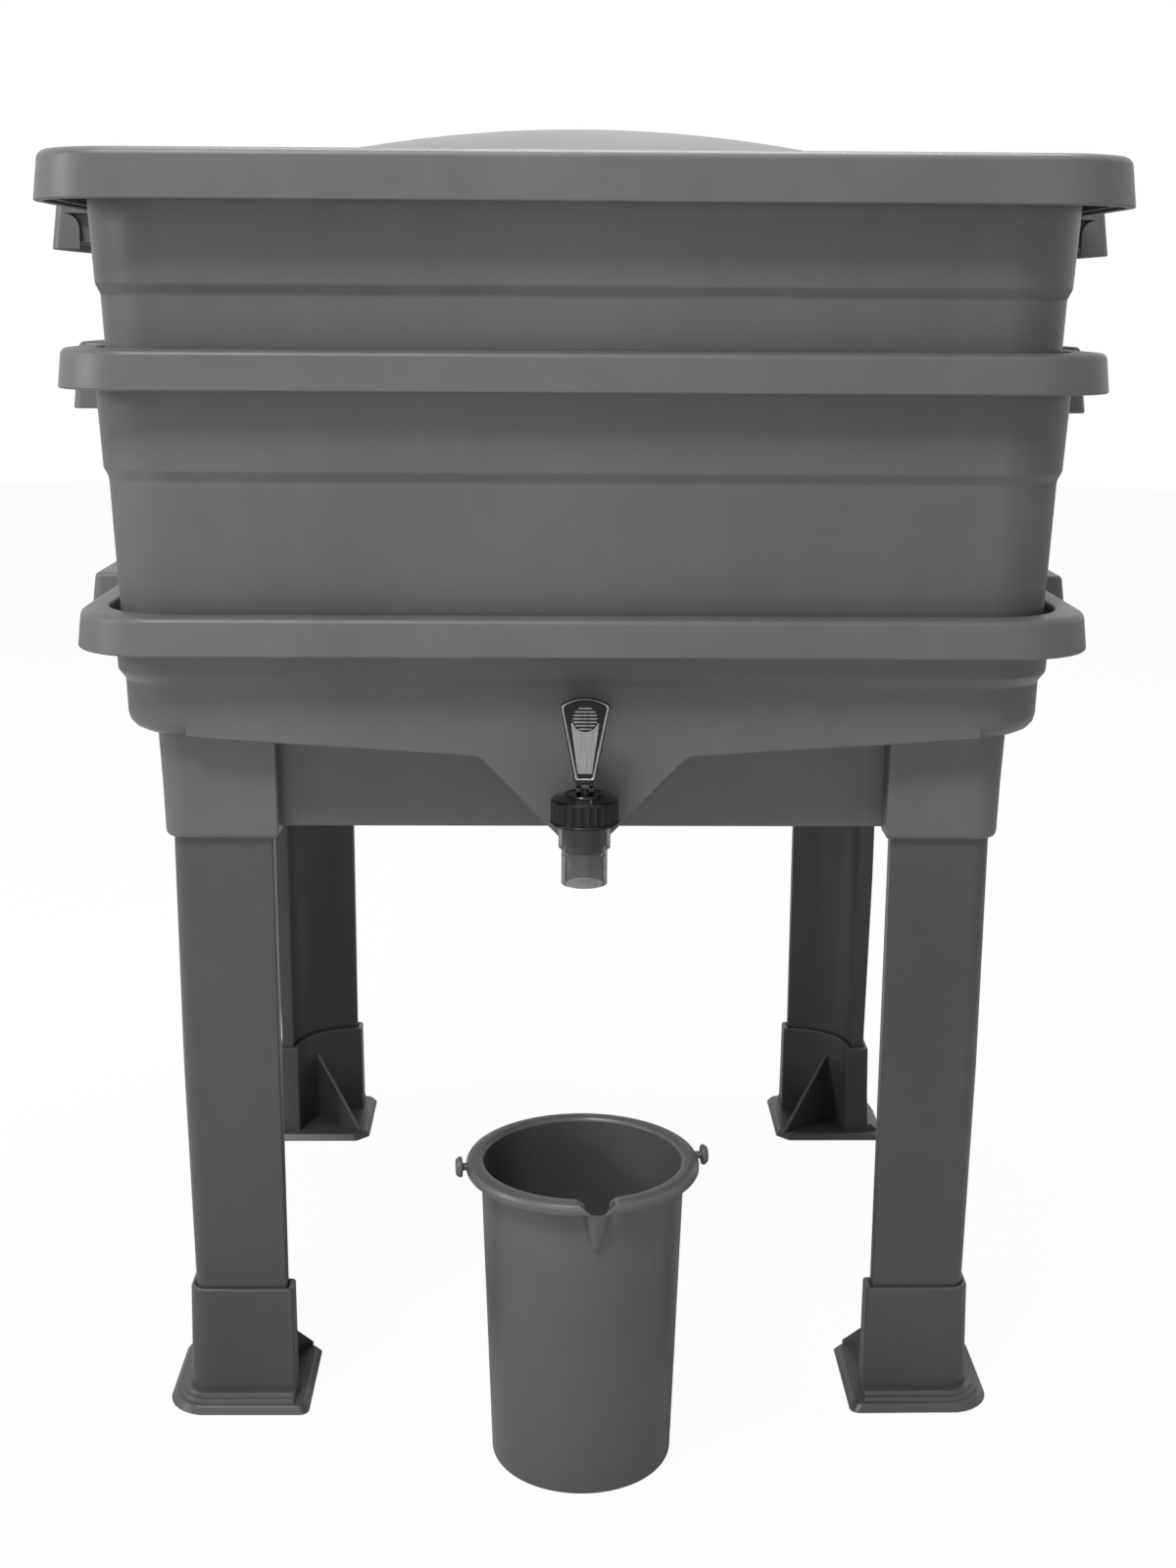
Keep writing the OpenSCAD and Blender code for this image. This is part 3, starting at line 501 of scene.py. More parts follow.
class Paint:
    """The node tree of one material or of the world."""

    def __init__(self, owner: bpy.types.Material | bpy.types.World) -> None:
        """Starts with an empty node tree.

        Args:
            owner: The material or the world.
        """
        owner.use_nodes = True
        self.owner = owner
        self.tree = owner.node_tree
        self.tree.nodes.clear()

    def feed(self, socket: bpy.types.NodeSocket, value: object) -> None:
        """Links a socket, or sets its value.

        Args:
            socket: The socket that is fed.
            value: A value or socket to link, or else what the socket is set to.
        """
        if isinstance(value, Value):
            value = value.socket
        if isinstance(value, bpy.types.NodeSocket):
            self.tree.links.new(value, socket)
        else:
            socket.default_value = value

    def node(self, kind: str, settings: dict[str, object] | None = None,
             sockets: dict[int | str, object] | None = None) -> bpy.types.Node:
        """Adds a node.

        Args:
            kind: The node's type.
            settings: Its properties, set first.
            sockets: Values or links of its sockets.

        Returns:
            The node.
        """
        made = self.tree.nodes.new(kind)
        for name, value in (settings or {}).items():
            setattr(made, name, value)
        for key, value in (sockets or {}).items():
            self.feed(made.inputs[key], value)
        return made

    def noise(self, noise: Noise) -> Value:
        """Adds noise over the object's own coordinates.

        Args:
            noise: What the noise is like.

        Returns:
            Its value.
        """
        spot = self.node("ShaderNodeTexCoord").outputs["Object"]
        if noise.stretch != EVEN:
            spot = self.node("ShaderNodeMapping", None,
                             {"Vector": spot, "Scale": noise.stretch}).outputs[0]
        return Value(self, self.node("ShaderNodeTexNoise", None, {
            "Vector": spot, "Scale": noise.scale, "Detail": noise.detail}).outputs[0])

    def blend(self, share: Value, low: object, high: object) -> bpy.types.NodeSocket:
        """A colour between two, by share."""
        return self.node("ShaderNodeMix", {"data_type": "RGBA"},
                         {0: share, 6: low, 7: high}).outputs[2]

    def bump(self, strength: float, depth: float, height: Value) -> bpy.types.NodeSocket:
        """A normal from a height, with the depth of its relief in metres."""
        return self.node("ShaderNodeBump", None, {
            "Strength": strength, "Distance": depth, "Height": height}).outputs[0]

    def ray(self, kind: str) -> Value:
        """1 for one kind of ray, and 0 for the others."""
        return Value(self, self.node("ShaderNodeLightPath").outputs[f"Is {kind} Ray"])

    def mix(self, share: Value | float, first: bpy.types.Node,
            second: bpy.types.Node) -> bpy.types.Node:
        """A shader between two, by share."""
        return self.node("ShaderNodeMixShader", None,
                         {0: share, 1: first.outputs[0], 2: second.outputs[0]})

    def output(self, kind: str, shader: bpy.types.Node) -> None:
        """Ends the tree in its output."""
        self.node(kind, None, {"Surface": shader.outputs[0]})

    def surface(self, sockets: dict[str, object]) -> bpy.types.Material:
        """Adds the surface shader with its sockets and the output, and gives the material."""
        self.output("ShaderNodeOutputMaterial",
                    self.node("ShaderNodeBsdfPrincipled", None, sockets))
        return self.owner


def grey(tone: float, tint: Point3 = (0.0, 0.0, 0.0)) -> tuple[float, ...]:
    """A linear colour from an sRGB grey of 0 to 255 and a small tint.

    Args:
        tone: The grey.
        tint: What is added to each channel, in the same measure.

    Returns:
        Red, green, blue and alpha, linear.
    """
    parts = [(tone + t) / 255 for t in tint]
    return (*[p / 12.92 if p <= 0.04045 else ((p + 0.055) / 1.055) ** 2.4 for p in parts], 1.0)


@dataclass(frozen=True)
class Plastic:
    """Moulded plastic: a fine grain, slow changes of tone, flow marks and light scuffs."""

    name: str
    tone: float
    roughness: float = 0.42
    mottle: float = 0.05
    scuff: float = 0.10
    tint: Point3 = (0.8, -0.8, 0.8)
    scuff_tone: float = 38
    # Shares of broad, flowing and cloudy noise in the tone, and of clouds, grain and scuffs in
    # the roughness
    tone_shares: Point3 = (0.6, 0.25, 0.15)
    rough_shares: Point3 = (0.16, 0.10, 0.06)
    grain: float = 0.18
    grain_depth: float = 0.0004
    cloud_share: float = 0.35

    def material(self) -> bpy.types.Material:
        """Builds the material.

        Returns:
            The material.
        """
        paint = Paint(bpy.data.materials.new(self.name))
        broad = paint.noise(Noise(7.0, 4.0))
        flow = paint.noise(Noise(26.0, 3.0, (1.0, 1.0, 0.16)))
        fine = paint.noise(Noise(1400.0, 2.0))
        cloud = paint.noise(Noise(60.0, 5.0))
        marks = paint.noise(Noise(34.0, 6.0, (1.0, 1.0, 0.35))).smooth(0.62, 0.76)
        by_broad, by_flow, by_cloud = self.tone_shares
        shade = broad * by_broad + flow * by_flow + cloud * by_cloud
        low = grey(self.tone * (1 - self.mottle), self.tint)
        high = grey(self.tone * (1 + self.mottle), self.tint)
        colour = paint.blend(shade.smooth(0.34, 0.66), low, high)
        worn = paint.blend(marks * self.scuff, colour, grey(self.tone + self.scuff_tone, self.tint))
        by_cloud, by_fine, by_marks = self.rough_shares
        rough = (self.roughness + (cloud - 0.5) * by_cloud + (fine - 0.5) * by_fine
                 + marks * by_marks)
        return paint.surface({
            "Base Color": worn, "Roughness": rough,
            "Normal": paint.bump(self.grain, self.grain_depth, fine + cloud * self.cloud_share)})


@dataclass(frozen=True)
class Gloss:
    """Smooth moulded plastic or rubber with faint swirls in its polish."""

    name: str
    tone: float
    roughness: float
    coat: float = 0.0
    see_through: float = 0.0
    bump: float = 0.06
    specular: float = 0.5
    mottle: float = 0.12
    rough_share: float = 0.10
    relief: float = 0.0003

    def material(self) -> bpy.types.Material:
        """Builds the material.

        Returns:
            The material.
        """
        paint = Paint(bpy.data.materials.new(self.name))
        haze = paint.noise(Noise(180.0, 4.0))
        fine = paint.noise(Noise(2200.0, 2.0))
        low, high = grey(self.tone * (1 - self.mottle)), grey(self.tone * (1 + self.mottle))
        return paint.surface({
            "Base Color": paint.blend(haze.smooth(0.3, 0.7), low, high),
            "Roughness": self.roughness + (haze - 0.5) * self.rough_share,
            "Normal": paint.bump(self.bump, self.relief, fine + haze),
            "Coat Weight": self.coat, "Transmission Weight": self.see_through,
            "Specular IOR Level": self.specular})


@dataclass(frozen=True)
class Metal:
    """Metal or a metal film, brushed along its height."""

    name: str
    tone: float
    roughness: float
    # Darkest and lightest shares of the tone, and shares of lines and clouds in the roughness
    tone_shares: Point2 = (0.9, 1.06)
    rough_shares: Point2 = (0.16, 0.08)
    scratch: float = 0.12
    scratch_depth: float = 0.0002

    def material(self) -> bpy.types.Material:
        """Builds the material.

        Returns:
            The material.
        """
        paint = Paint(bpy.data.materials.new(self.name))
        lines = paint.noise(Noise(1500.0, 3.0, (1.0, 1.0, 0.05)))
        cloud = paint.noise(Noise(120.0, 3.0))
        low, high = (grey(self.tone * share) for share in self.tone_shares)
        by_lines, by_cloud = self.rough_shares
        return paint.surface({
            "Base Color": paint.blend(lines.smooth(0.3, 0.7), low, high),
            "Roughness": self.roughness + (lines - 0.5) * by_lines + (cloud - 0.5) * by_cloud,
            "Normal": paint.bump(self.scratch, self.scratch_depth, lines),
            "Metallic": 1.0})


BODY_PLASTIC = Plastic("satin_grey_plastic", 103)
# Darker than the body plastic: painted shade, which stands for the shade on the legs and feet under
# the stack
LEG_SHADED_PLASTIC = Plastic("leg_shaded_grey_plastic", 77, roughness=0.38, mottle=0.06, scuff=0.14)
BUCKET_PLASTIC = Plastic("bucket_grey_plastic", 95, roughness=0.36, scuff=0.06)
TAP_BLACK = Gloss("gloss_black_plastic", 13, 0.2, coat=0.08, specular=0.35)
TAP_SMOKE = Gloss("smoky_clear_plastic", 145, 0.08, see_through=0.94, bump=0.03)
NUT_PLASTIC = Gloss("nut_black_plastic", 46, 0.4)
SEAL_RUBBER = Gloss("black_rubber", 30, 0.62, bump=0.15)
PIN_STEEL = Metal("pin_steel", 190, 0.28)
# Silver film of the inlay and the paddle's edge, and also the painted highlight on the thumb ridges
LEVER_SILVER_AND_RIDGE_HIGHLIGHT = Metal("silver_film_and_ridge_highlight", 168, 0.2)


# The stack


@dataclass(frozen=True)
class Hood:
    """A hollow block that stands out towards +X and is open below: a handle or a flap.

    Its end walls start from the stack at the places that starts gives by depth. A tab is the
    part below the depth tab_from, which has the width tab and is round above.
    """

    top: float
    drop: float
    out_top: float
    out_low: float
    half: float
    starts: tuple[Point2, ...]
    wall: float
    edge: float
    tab: float = 0.0
    tab_from: float = 0.0
    corner: float = 6.0
    least_corner: float = 0.6
    lip: float = 0.7
    steps: int = 6
    tab_steps: int = 8

    def _start(self, depth: float) -> float:
        """Where the end walls start, towards the stack.

        Args:
            depth: Depth below the block's top.

        Returns:
            The place along X.
        """
        if not self.tab or depth <= self.tab_from:
            return between(self.starts, depth)
        radius = self.tab / 2
        rest = radius - min(depth - self.tab_from, radius)
        return self.out_low - self.tab + radius - math.sqrt(radius * radius - rest * rest)

    def _path(self, depth: float, inset: float) -> list[Point3]:
        """The wall's path round the block.

        Args:
            depth: Depth below the block's top.
            inset: How far the path lies inside the block's outside.

        Returns:
            The points, from the start of one end wall to the start of the other.
        """
        start = self._start(depth)
        out = self.out_top + (self.out_low - self.out_top) * depth / self.drop - inset
        half = self.half - inset
        radius = max(self.corner - inset, self.least_corner)
        spots = [(start, -half), *arc((out - radius, radius - half), radius, -90, 0, self.steps),
                 *arc((out - radius, half - radius), radius, 0, 90, self.steps), (start, half)]
        return [(x, y, self.top - depth) for x, y in spots]

    def _depths(self) -> list[Point2]:
        """Depths from the lower edge up, each with the inset of the rounding there.

        Returns:
            Pairs of depth and inset.
        """
        levels = [(self.drop, self.lip), (self.drop - self.lip, 0.0)]
        if self.tab:
            reach = self.tab / 2 / self.tab_steps
            levels += [(self.tab_from + reach * k, 0.0) for k in range(self.tab_steps, 0, -1)]
            levels += [(self.tab_from + 0.01, 0.0), (self.tab_from, 0.0)]
        bend = max(self.wall, self.edge)
        levels += [(bend + 0.4, 0.0), (bend + 0.1, 0.0)]
        for k in range(self.steps):
            a = math.pi / 2 * k / (self.steps - 1)
            levels.append((self.edge * (1 - math.sin(a)), self.edge * (1 - math.cos(a))))
        return levels

    def shell(self) -> Shell:
        """Builds the block.

        Returns:
            The closed shell.
        """
        shell = Shell()
        outer, inner = [], []
        for depth, turn in self._depths():
            lip = turn if depth > self.drop / 2 else 0
            outer.append(shell.ring(self._path(depth, turn)))
            inner.append(shell.ring(self._path(max(depth, self.wall), self.wall - lip)))
        for side in (outer, inner):
            for low, high in zip(side, side[1:]):
                shell.strip(low, high, around=False)
        columns = list(zip(outer, inner))
        for end in (0, -1):
            for (o1, i1), (o2, i2) in zip(columns, columns[1:]):
                shell.faces.append((o1[end], i1[end], i2[end], o2[end]))
        shell.strip(outer[0], inner[0], around=False)
        shell.faces.append(tuple(outer[-1]))
        shell.faces.append(tuple(inner[-1]))
        shell.faces.append((outer[-1][0], outer[-1][-1], inner[-1][-1], inner[-1][0]))
        return shell


@dataclass(frozen=True)
class Rim:
    """A tray's hemmed rim, whose skirt gives way to a hollow handle on each side."""

    out: float
    half: float
    top: float
    crown_r: float
    height: float = 19.8
    flare: float = 2.2
    hem: float = 2.5
    lean: float = 1.8
    mouth_half: float = 246.0
    # The gap in the skirt
    gap_half: float = 85.4
    gap_reach: float = 4.7
    gap_roof: float = 2.7
    # The handles
    handle_half: float = 88.0
    handle_drop: float = 37.0
    handle_lean: float = 5.0
    handle_wall: float = 3.0
    handle_edge: float = 2.4
    handle_sink: float = 0.06

    def section(self) -> list[Corner]:
        """The rim's section from inside its skirt to the tray's mouth.

        Returns:
            Corners as half width, height from the rim's top and rounding.
        """
        skirt = self.half - self.flare
        return [(skirt - self.hem, -self.hem, 2.0),
                (skirt - self.hem + self.lean, -self.height, 0.8), (self.half, -self.height, 1.1),
                (skirt, 0, self.crown_r), (self.mouth_half, 0, 1.6)]

    def cut_gaps(self, piece: bpy.types.Object) -> None:
        """Cuts the skirt away where the handles go.

        Args:
            piece: The tray.
        """
        skirt = self.half - self.flare
        gap = block((skirt - self.gap_reach, -self.gap_half, self.top - self.height - OVER),
                    (skirt + self.gap_reach, self.gap_half, self.top - self.gap_roof))
        meet(piece, gap.mirrored(), Join.CUT)

    def add_handles(self, piece: bpy.types.Object, starts: tuple[Point2, ...]) -> None:
        """Adds the handles.

        Args:
            piece: The tray.
            starts: Depths, and where the handle's end walls start there.
        """
        handle = Hood(self.top - self.handle_sink, self.handle_drop, self.out - self.handle_lean,
                      self.out, self.handle_half, starts, self.handle_wall, self.handle_edge)
        meet(piece, handle.shell().mirrored(), Join.ADD)


@dataclass
class WormTray:
    """One worm tray: a deep square tub with a stepped wall, a hemmed rim and two handles."""

    body: Body
    rim: Rim
    height: float = 150.0
    floor_t: float = 3.0
    # Half widths of the wall, up its outside and down its inside
    foot_half: float = 239.5
    under_half: float = 243.0
    step_half: float = 245.5
    neck_half: float = 248.5
    inside_half: float = 243.0
    ledge_half: float = 234.0
    well_half: float = 240.5
    floor_half: float = 237.0
    grid_half: float = 208.0
    # Depths of the outside step and the inner ledge
    step: float = 59.6
    step_h: float = 5.0
    ledge: float = 59.9
    ledge_t: float = 3.0
    # The drain holes
    drain_n: int = 14
    drain_pitch: float = 30.0
    drain_w: float = 8.0
    drain_sink: float = 0.1
    # Corner radii by half width, and where a handle's end walls start by depth
    corners: tuple[Point2, ...] = ((210, 3.5), (248.5, 42), (258.8, 40.3), (263.5, 45))
    starts: tuple[Point2, ...] = ((0, 248.0), (2.6, 247.6), (37, 245.6))

    def profile(self) -> list[Point2]:
        """The wall's section from the floor outside, over the rim and down to the floor.

        Returns:
            Half widths, and heights from the rim's top.
        """
        base, ledge = -self.height, -self.ledge
        floor, shelf = self.floor_t - self.height, ledge - self.ledge_t
        return soften([
            (self.foot_half, base, 3.5), (self.under_half, -self.step - self.step_h, 5),
            (self.step_half, -self.step, 3.5), (self.neck_half, -self.rim.hem, 1.0),
            *self.rim.section(), (self.inside_half, ledge, 1.0), (self.ledge_half, ledge, 0.8),
            (self.ledge_half, shelf, 0.8), (self.well_half, shelf, 1.0),
            (self.floor_half, floor, 4.0), (self.grid_half, floor, 0), (self.grid_half, base, 0)])

    def drain_floor(self) -> Shell:
        """The middle of the floor, with a grid of square drain holes.

        Returns:
            The shell, closed round its border.
        """
        shell = Shell()
        base = self.rim.top - self.height
        low, high = base + self.drain_sink, base + self.floor_t - self.drain_sink
        half, hole = self.drain_pitch / 2, self.drain_w / 2
        last = self.drain_n - 1
        for i in range(self.drain_n):
            for j in range(self.drain_n):
                cx, cy = (2 * i - last) * half, (2 * j - last) * half
                rims = [[(cx + sx * reach, cy + sy * reach, z)
                         for sx, sy in ((-1, -1), (1, -1), (1, 1), (-1, 1))]
                        for reach, z in ((half, low), (hole, low), (hole, high), (half, high))]
                shell.loft(rims)
                for k, edge in enumerate((j == 0, i == last, j == last, i == 0)):
                    if edge:
                        ends = (k, (k + 1) % 4)
                        side = shell.ring([rims[0][e] for e in ends] + [rims[3][e] for e in ends])
                        shell.strip(side[:2], side[2:], around=False)
        return shell

    def build(self) -> bpy.types.Object:
        """Builds the tray and its handles as one mesh.

        Returns:
            The tray.
        """
        rings = [square_ring(h, between(self.corners, h), self.rim.top + z)
                 for h, z in self.profile()]
        piece = Shell().loft(rings, loop=True).make(f"{self.body.value}_moulding")
        self.rim.cut_gaps(piece)
        self.rim.add_handles(piece, self.starts)
        include(piece, self.drain_floor())
        finish_surface(piece)
        return piece

    def dress(self, piece: bpy.types.Object, material: bpy.types.Material) -> None:
        """Gives the tray its plastic and its place."""
        settle(piece, self.body, material, self.body.value)


@dataclass
class Lid:
    """The lid: a square cap with a shallow dome and a flap over each tray handle."""

    flap_out: float
    flap_low: float
    crown: float
    half: float = 269.3
    skirt: float = 24.0
    flare: float = 3.0
    lean: float = 0.6
    wall: float = 2.5
    edge: float = 4.6
    dome_r: float = 200.0
    dome_h: float = 27.0
    dome_foot: float = 8.0
    dome_steps: int = 16
    # The flaps, and how far the slot for them is cut
    flap_half: float = 94.0
    flap_lean: float = 6.0
    flap_edge: float = 3.2
    flap_tab: float = 16.5
    slot_out: float = 280.0
    slot_drop: float = 5.0
    # Corner radii by half width, and where a flap's end walls start by depth
    corners: tuple[Point2, ...] = ((200, 200), (225, 120), (263, 38), (270, 45))
    starts: tuple[Point2, ...] = ((0, 260.0), (2.4, 260.0), (2.7, 266.0))

    @property
    def top(self) -> float:
        """Height of the flat top round the dome."""
        return self.crown - self.dome_h

    def _dome(self, drop: float) -> list[Point2]:
        """The dome's section from its foot to its crown.

        Args:
            drop: How far it is lowered.

        Returns:
            Radii and heights above the flat top.
        """
        ball = (self.dome_r ** 2 + self.dome_h ** 2) / (2 * self.dome_h)
        spots = []
        for k in range(self.dome_steps + 1):
            r = self.dome_r * math.cos(math.pi / 2 * k / self.dome_steps)
            spots.append((r, math.sqrt(ball * ball - r * r) - ball + self.dome_h - drop))
        return spots

    def build(self) -> bpy.types.Object:
        """Builds the lid with its flaps as one mesh.

        Returns:
            The lid.
        """
        shoulder = self.half - self.flare
        inner, foot = shoulder - self.wall, self.dome_r + self.dome_foot
        rim = soften([
            (foot, -self.wall, 0), (inner, -self.wall, 1.5), (inner + self.lean, -self.skirt, 0.8),
            (self.half, -self.skirt, 1.0), (shoulder, 0, self.edge), (foot, 0, 0)], False, 5)
        section = [*reversed(self._dome(self.wall)), *rim, *self._dome(0)]
        rings = [square_ring(h, between(self.corners, h), self.top + z) for h, z in section]
        piece = Shell().loft(rings).make("lid_moulding")
        slot = self.flap_half - self.wall
        gap = block((inner - OVER, -slot, self.top - self.skirt - self.slot_drop),
                    (self.slot_out, slot, self.top - self.wall))
        meet(piece, gap.mirrored(), Join.CUT)
        flap = Hood(self.top, self.top - self.flap_low, self.flap_out - self.flap_lean,
                    self.flap_out, self.flap_half, self.starts, self.wall, self.flap_edge,
                    self.flap_tab, self.skirt)
        meet(piece, flap.shell().mirrored(), Join.ADD)
        finish_surface(piece)
        return piece

    def dress(self, piece: bpy.types.Object, material: bpy.types.Material) -> None:
        """Gives the lid its plastic and its place."""
        settle(piece, Body.LID, material, "lid")


@dataclass(frozen=True)
class CornerPlan:
    """Plan of a leg: a square with a round hollow in its inner corner."""

    stance: float
    width: float = 53.5
    tip: float = 10.6
    tip_r: float = 1.2
    corner: float = 9.0
    hollow_r: float = 43.0
    lap: float = 2.0
    steps: int = 8
    hollow_steps: int = 14
    hollow_turn: float = 3.0

    def outline(self, out: float, grow: float) -> list[Point2]:
        """The plan about the leg's outer corner, running towards +X and +Y.

        Args:
            out: Skin on the two outer sides.
            grow: Skin on the ends and in the hollow.

        Returns:
            The outline's points.
        """
        end, tip, near = self.width + grow, self.tip + grow, self.width - self.lap
        hub, far = (self.corner, self.corner), (self.width, self.width)
        ends_a = soften([(self.corner, -out, 0), (end, -out, self.tip_r), (end, tip, self.tip_r),
                         (near, tip, 0)], False, 3)
        ends_b = soften([(tip, near, 0), (tip, end, self.tip_r), (-out, end, self.tip_r),
                         (-out, self.corner, 0)], False, 3)
        return [*arc(hub, self.corner + out, 180, 270, self.steps)[:-1], *ends_a[:-1],
                *arc(far, self.hollow_r - grow, 270 - self.hollow_turn, 180 + self.hollow_turn,
                     self.hollow_steps), *ends_b[1:-1]]

    def place(self, spots: Iterable[Point2], z: float, side: Point2) -> list[Point3]:
        """Puts an outline on one of the four corners, at a height."""
        return [(side[0] * (self.stance - x), side[1] * (self.stance - y), z) for x, y in spots]


PLAN = CornerPlan(box("front_right_leg")[1][0])
SIDES: dict[str, Point2] = {
    "front_left": (-1, -1), "front_right": (1, -1), "rear_left": (-1, 1), "rear_right": (1, 1)}


@dataclass
class CornerPost:
    """One leg and its foot."""

    name: str
    side: Point2
    low: float
    boot_h: float
    # The leg, drawn in below by height
    high: float = 387.7
    wall: float = 3.0
    break_w: float = 0.6
    draw: tuple[Point2, ...] = ((75.0, -2.0), (200.0, 0.0))
    # The boot round the leg
    skin: float = 3.5
    fit: float = 0.3
    lead: float = 0.4
    boot_flare: float = 1.6
    # The base plate and its steps
    plate_t: float = 5.0
    plate_reach: float = 11.0
    plate_half: float = 65.5
    plate_cut: float = 8.5
    step_h: float = 2.3
    step_reaches: Point2 = (9.3, 6.6)
    step_sink: float = 2.6
    # The rib
    rib_half: float = 1.3
    rib_break: float = 0.4
    rib_drop: float = 15.0
    rib_heights: Point2 = (2.5, 6.0)
    rib_out: float = 6.0

    def _tube(self, levels: Sequence[Corner]) -> Shell:
        """A closed wall whose section has heights, outer skins and inner skins."""
        return Shell().loft([
            PLAN.place(PLAN.outline(out + between(self.draw, z), grow), z, self.side)
            for z, out, grow in levels], loop=True)

    def build_leg(self) -> bpy.types.Object:
        """Builds the hollow leg, whose wall draws in between the two heights of draw.

        Returns:
            The leg.
        """
        w, b = self.wall, self.break_w
        (drawn, _), (full, _) = self.draw
        outside = [(self.low, -b, -b), (self.low + b, 0, 0), (drawn, 0, 0), (full, 0, 0),
                   (self.high - b, 0, 0), (self.high, -b, -b)]
        inside = [(z, -w, -w) for z in (self.high, full, drawn, self.low)]
        piece = self._tube([*outside, *inside]).make(f"{self.name}_post")
        finish_surface(piece)
        return piece

    def _plate(self) -> Shell:
        """The base plate with its chamfered inner corner.

        Returns:
            The shell.
        """
        out = self.skin + self.plate_reach
        corner, top = PLAN.corner + out, self.plate_t
        rings = []
        for z, inset in ((0, 0.7), (0.4, 0.1), (0.8, 0), (top - 1.0, 2.1), (top - 0.4, 2.6),
                         (top, 3.6)):
            near, far = inset - out, self.plate_half - inset
            cut = far - self.plate_cut
            ends = soften([(corner, near, 0), (far, near, 5.0), (far, cut, 2.5), (cut, far, 2.5),
                           (near, far, 5.0), (near, corner, 0)], False, 4)
            spots = arc((PLAN.corner, PLAN.corner), corner - inset, 180, 270, PLAN.steps)
            rings.append(PLAN.place([*spots[:-1], *ends[1:-1]], z, self.side))
        return Shell().loft(rings, caps=True)

    def _rib(self) -> Shell:
        """The upright rib between the boot's hollow side and the plate's inner corner.

        Returns:
            The shell.
        """
        slant, half = math.sqrt(2), self.rib_half
        wall_at = PLAN.width * slant - PLAN.hollow_r + self.skin - self.boot_flare
        end_at = (PLAN.width + self.rib_out) * slant
        low, high = self.rib_heights
        rings = []
        for t, inset in ((-half, 0.5), (self.rib_break - half, 0), (half - self.rib_break, 0),
                         (half, 0.5)):
            spots = ((wall_at, low), (end_at - inset, low), (end_at - inset, high),
                     (wall_at, self.boot_h - self.rib_drop - inset))
            rings.append([PLAN.place([((along - t) / slant, (along + t) / slant)], z, self.side)[0]
                          for along, z in spots])
        return Shell().loft(rings, caps=True)

    def build_foot(self) -> bpy.types.Object:
        """Builds the foot: a plate, two steps, a boot round the leg and a rib.

        Returns:
            The foot.
        """
        s, f, h, flare = self.skin, self.fit, self.boot_h, self.boot_flare
        inner = f + self.lead
        shell = self._plate()
        for i, reach in enumerate(self.step_reaches):
            out = reach - self.draw[0][1]
            z = self.plate_t + (i + 1) * self.step_h
            low = z - self.step_sink
            shell.add(self._tube([(low, out + 0.9, s + 0.2), (z - 0.7, out, s + 0.1),
                                  (z - 0.2, out - 0.4, s), (z, out - 1.1, s - 0.4),
                                  (z, inner, inner), (low, inner, inner)]))
        base = self.plate_t - 1
        shell.add(self._tube([
            (base, s + flare, s + 0.3), (h / 2, s + 0.2, s + 0.1), (h - 1.6, s - 0.5, s),
            (h - 0.6, s - 0.85, s - 0.35), (h, s - flare, s - 1.3), (h, f + 0.7, f + 0.7),
            (h - 0.7, f, f), (base, f, f)]))
        piece = shell.add(self._rib()).make(f"{self.name}_shoe")
        finish_surface(piece)
        return piece

    def dress(self, leg: bpy.types.Object, foot: bpy.types.Object,
              material: bpy.types.Material) -> None:
        """Gives both their plastic and their place."""
        settle(leg, Body.BASE, material, f"{self.name}_leg")
        settle(foot, Body.BASE, material, f"{self.name}_foot")


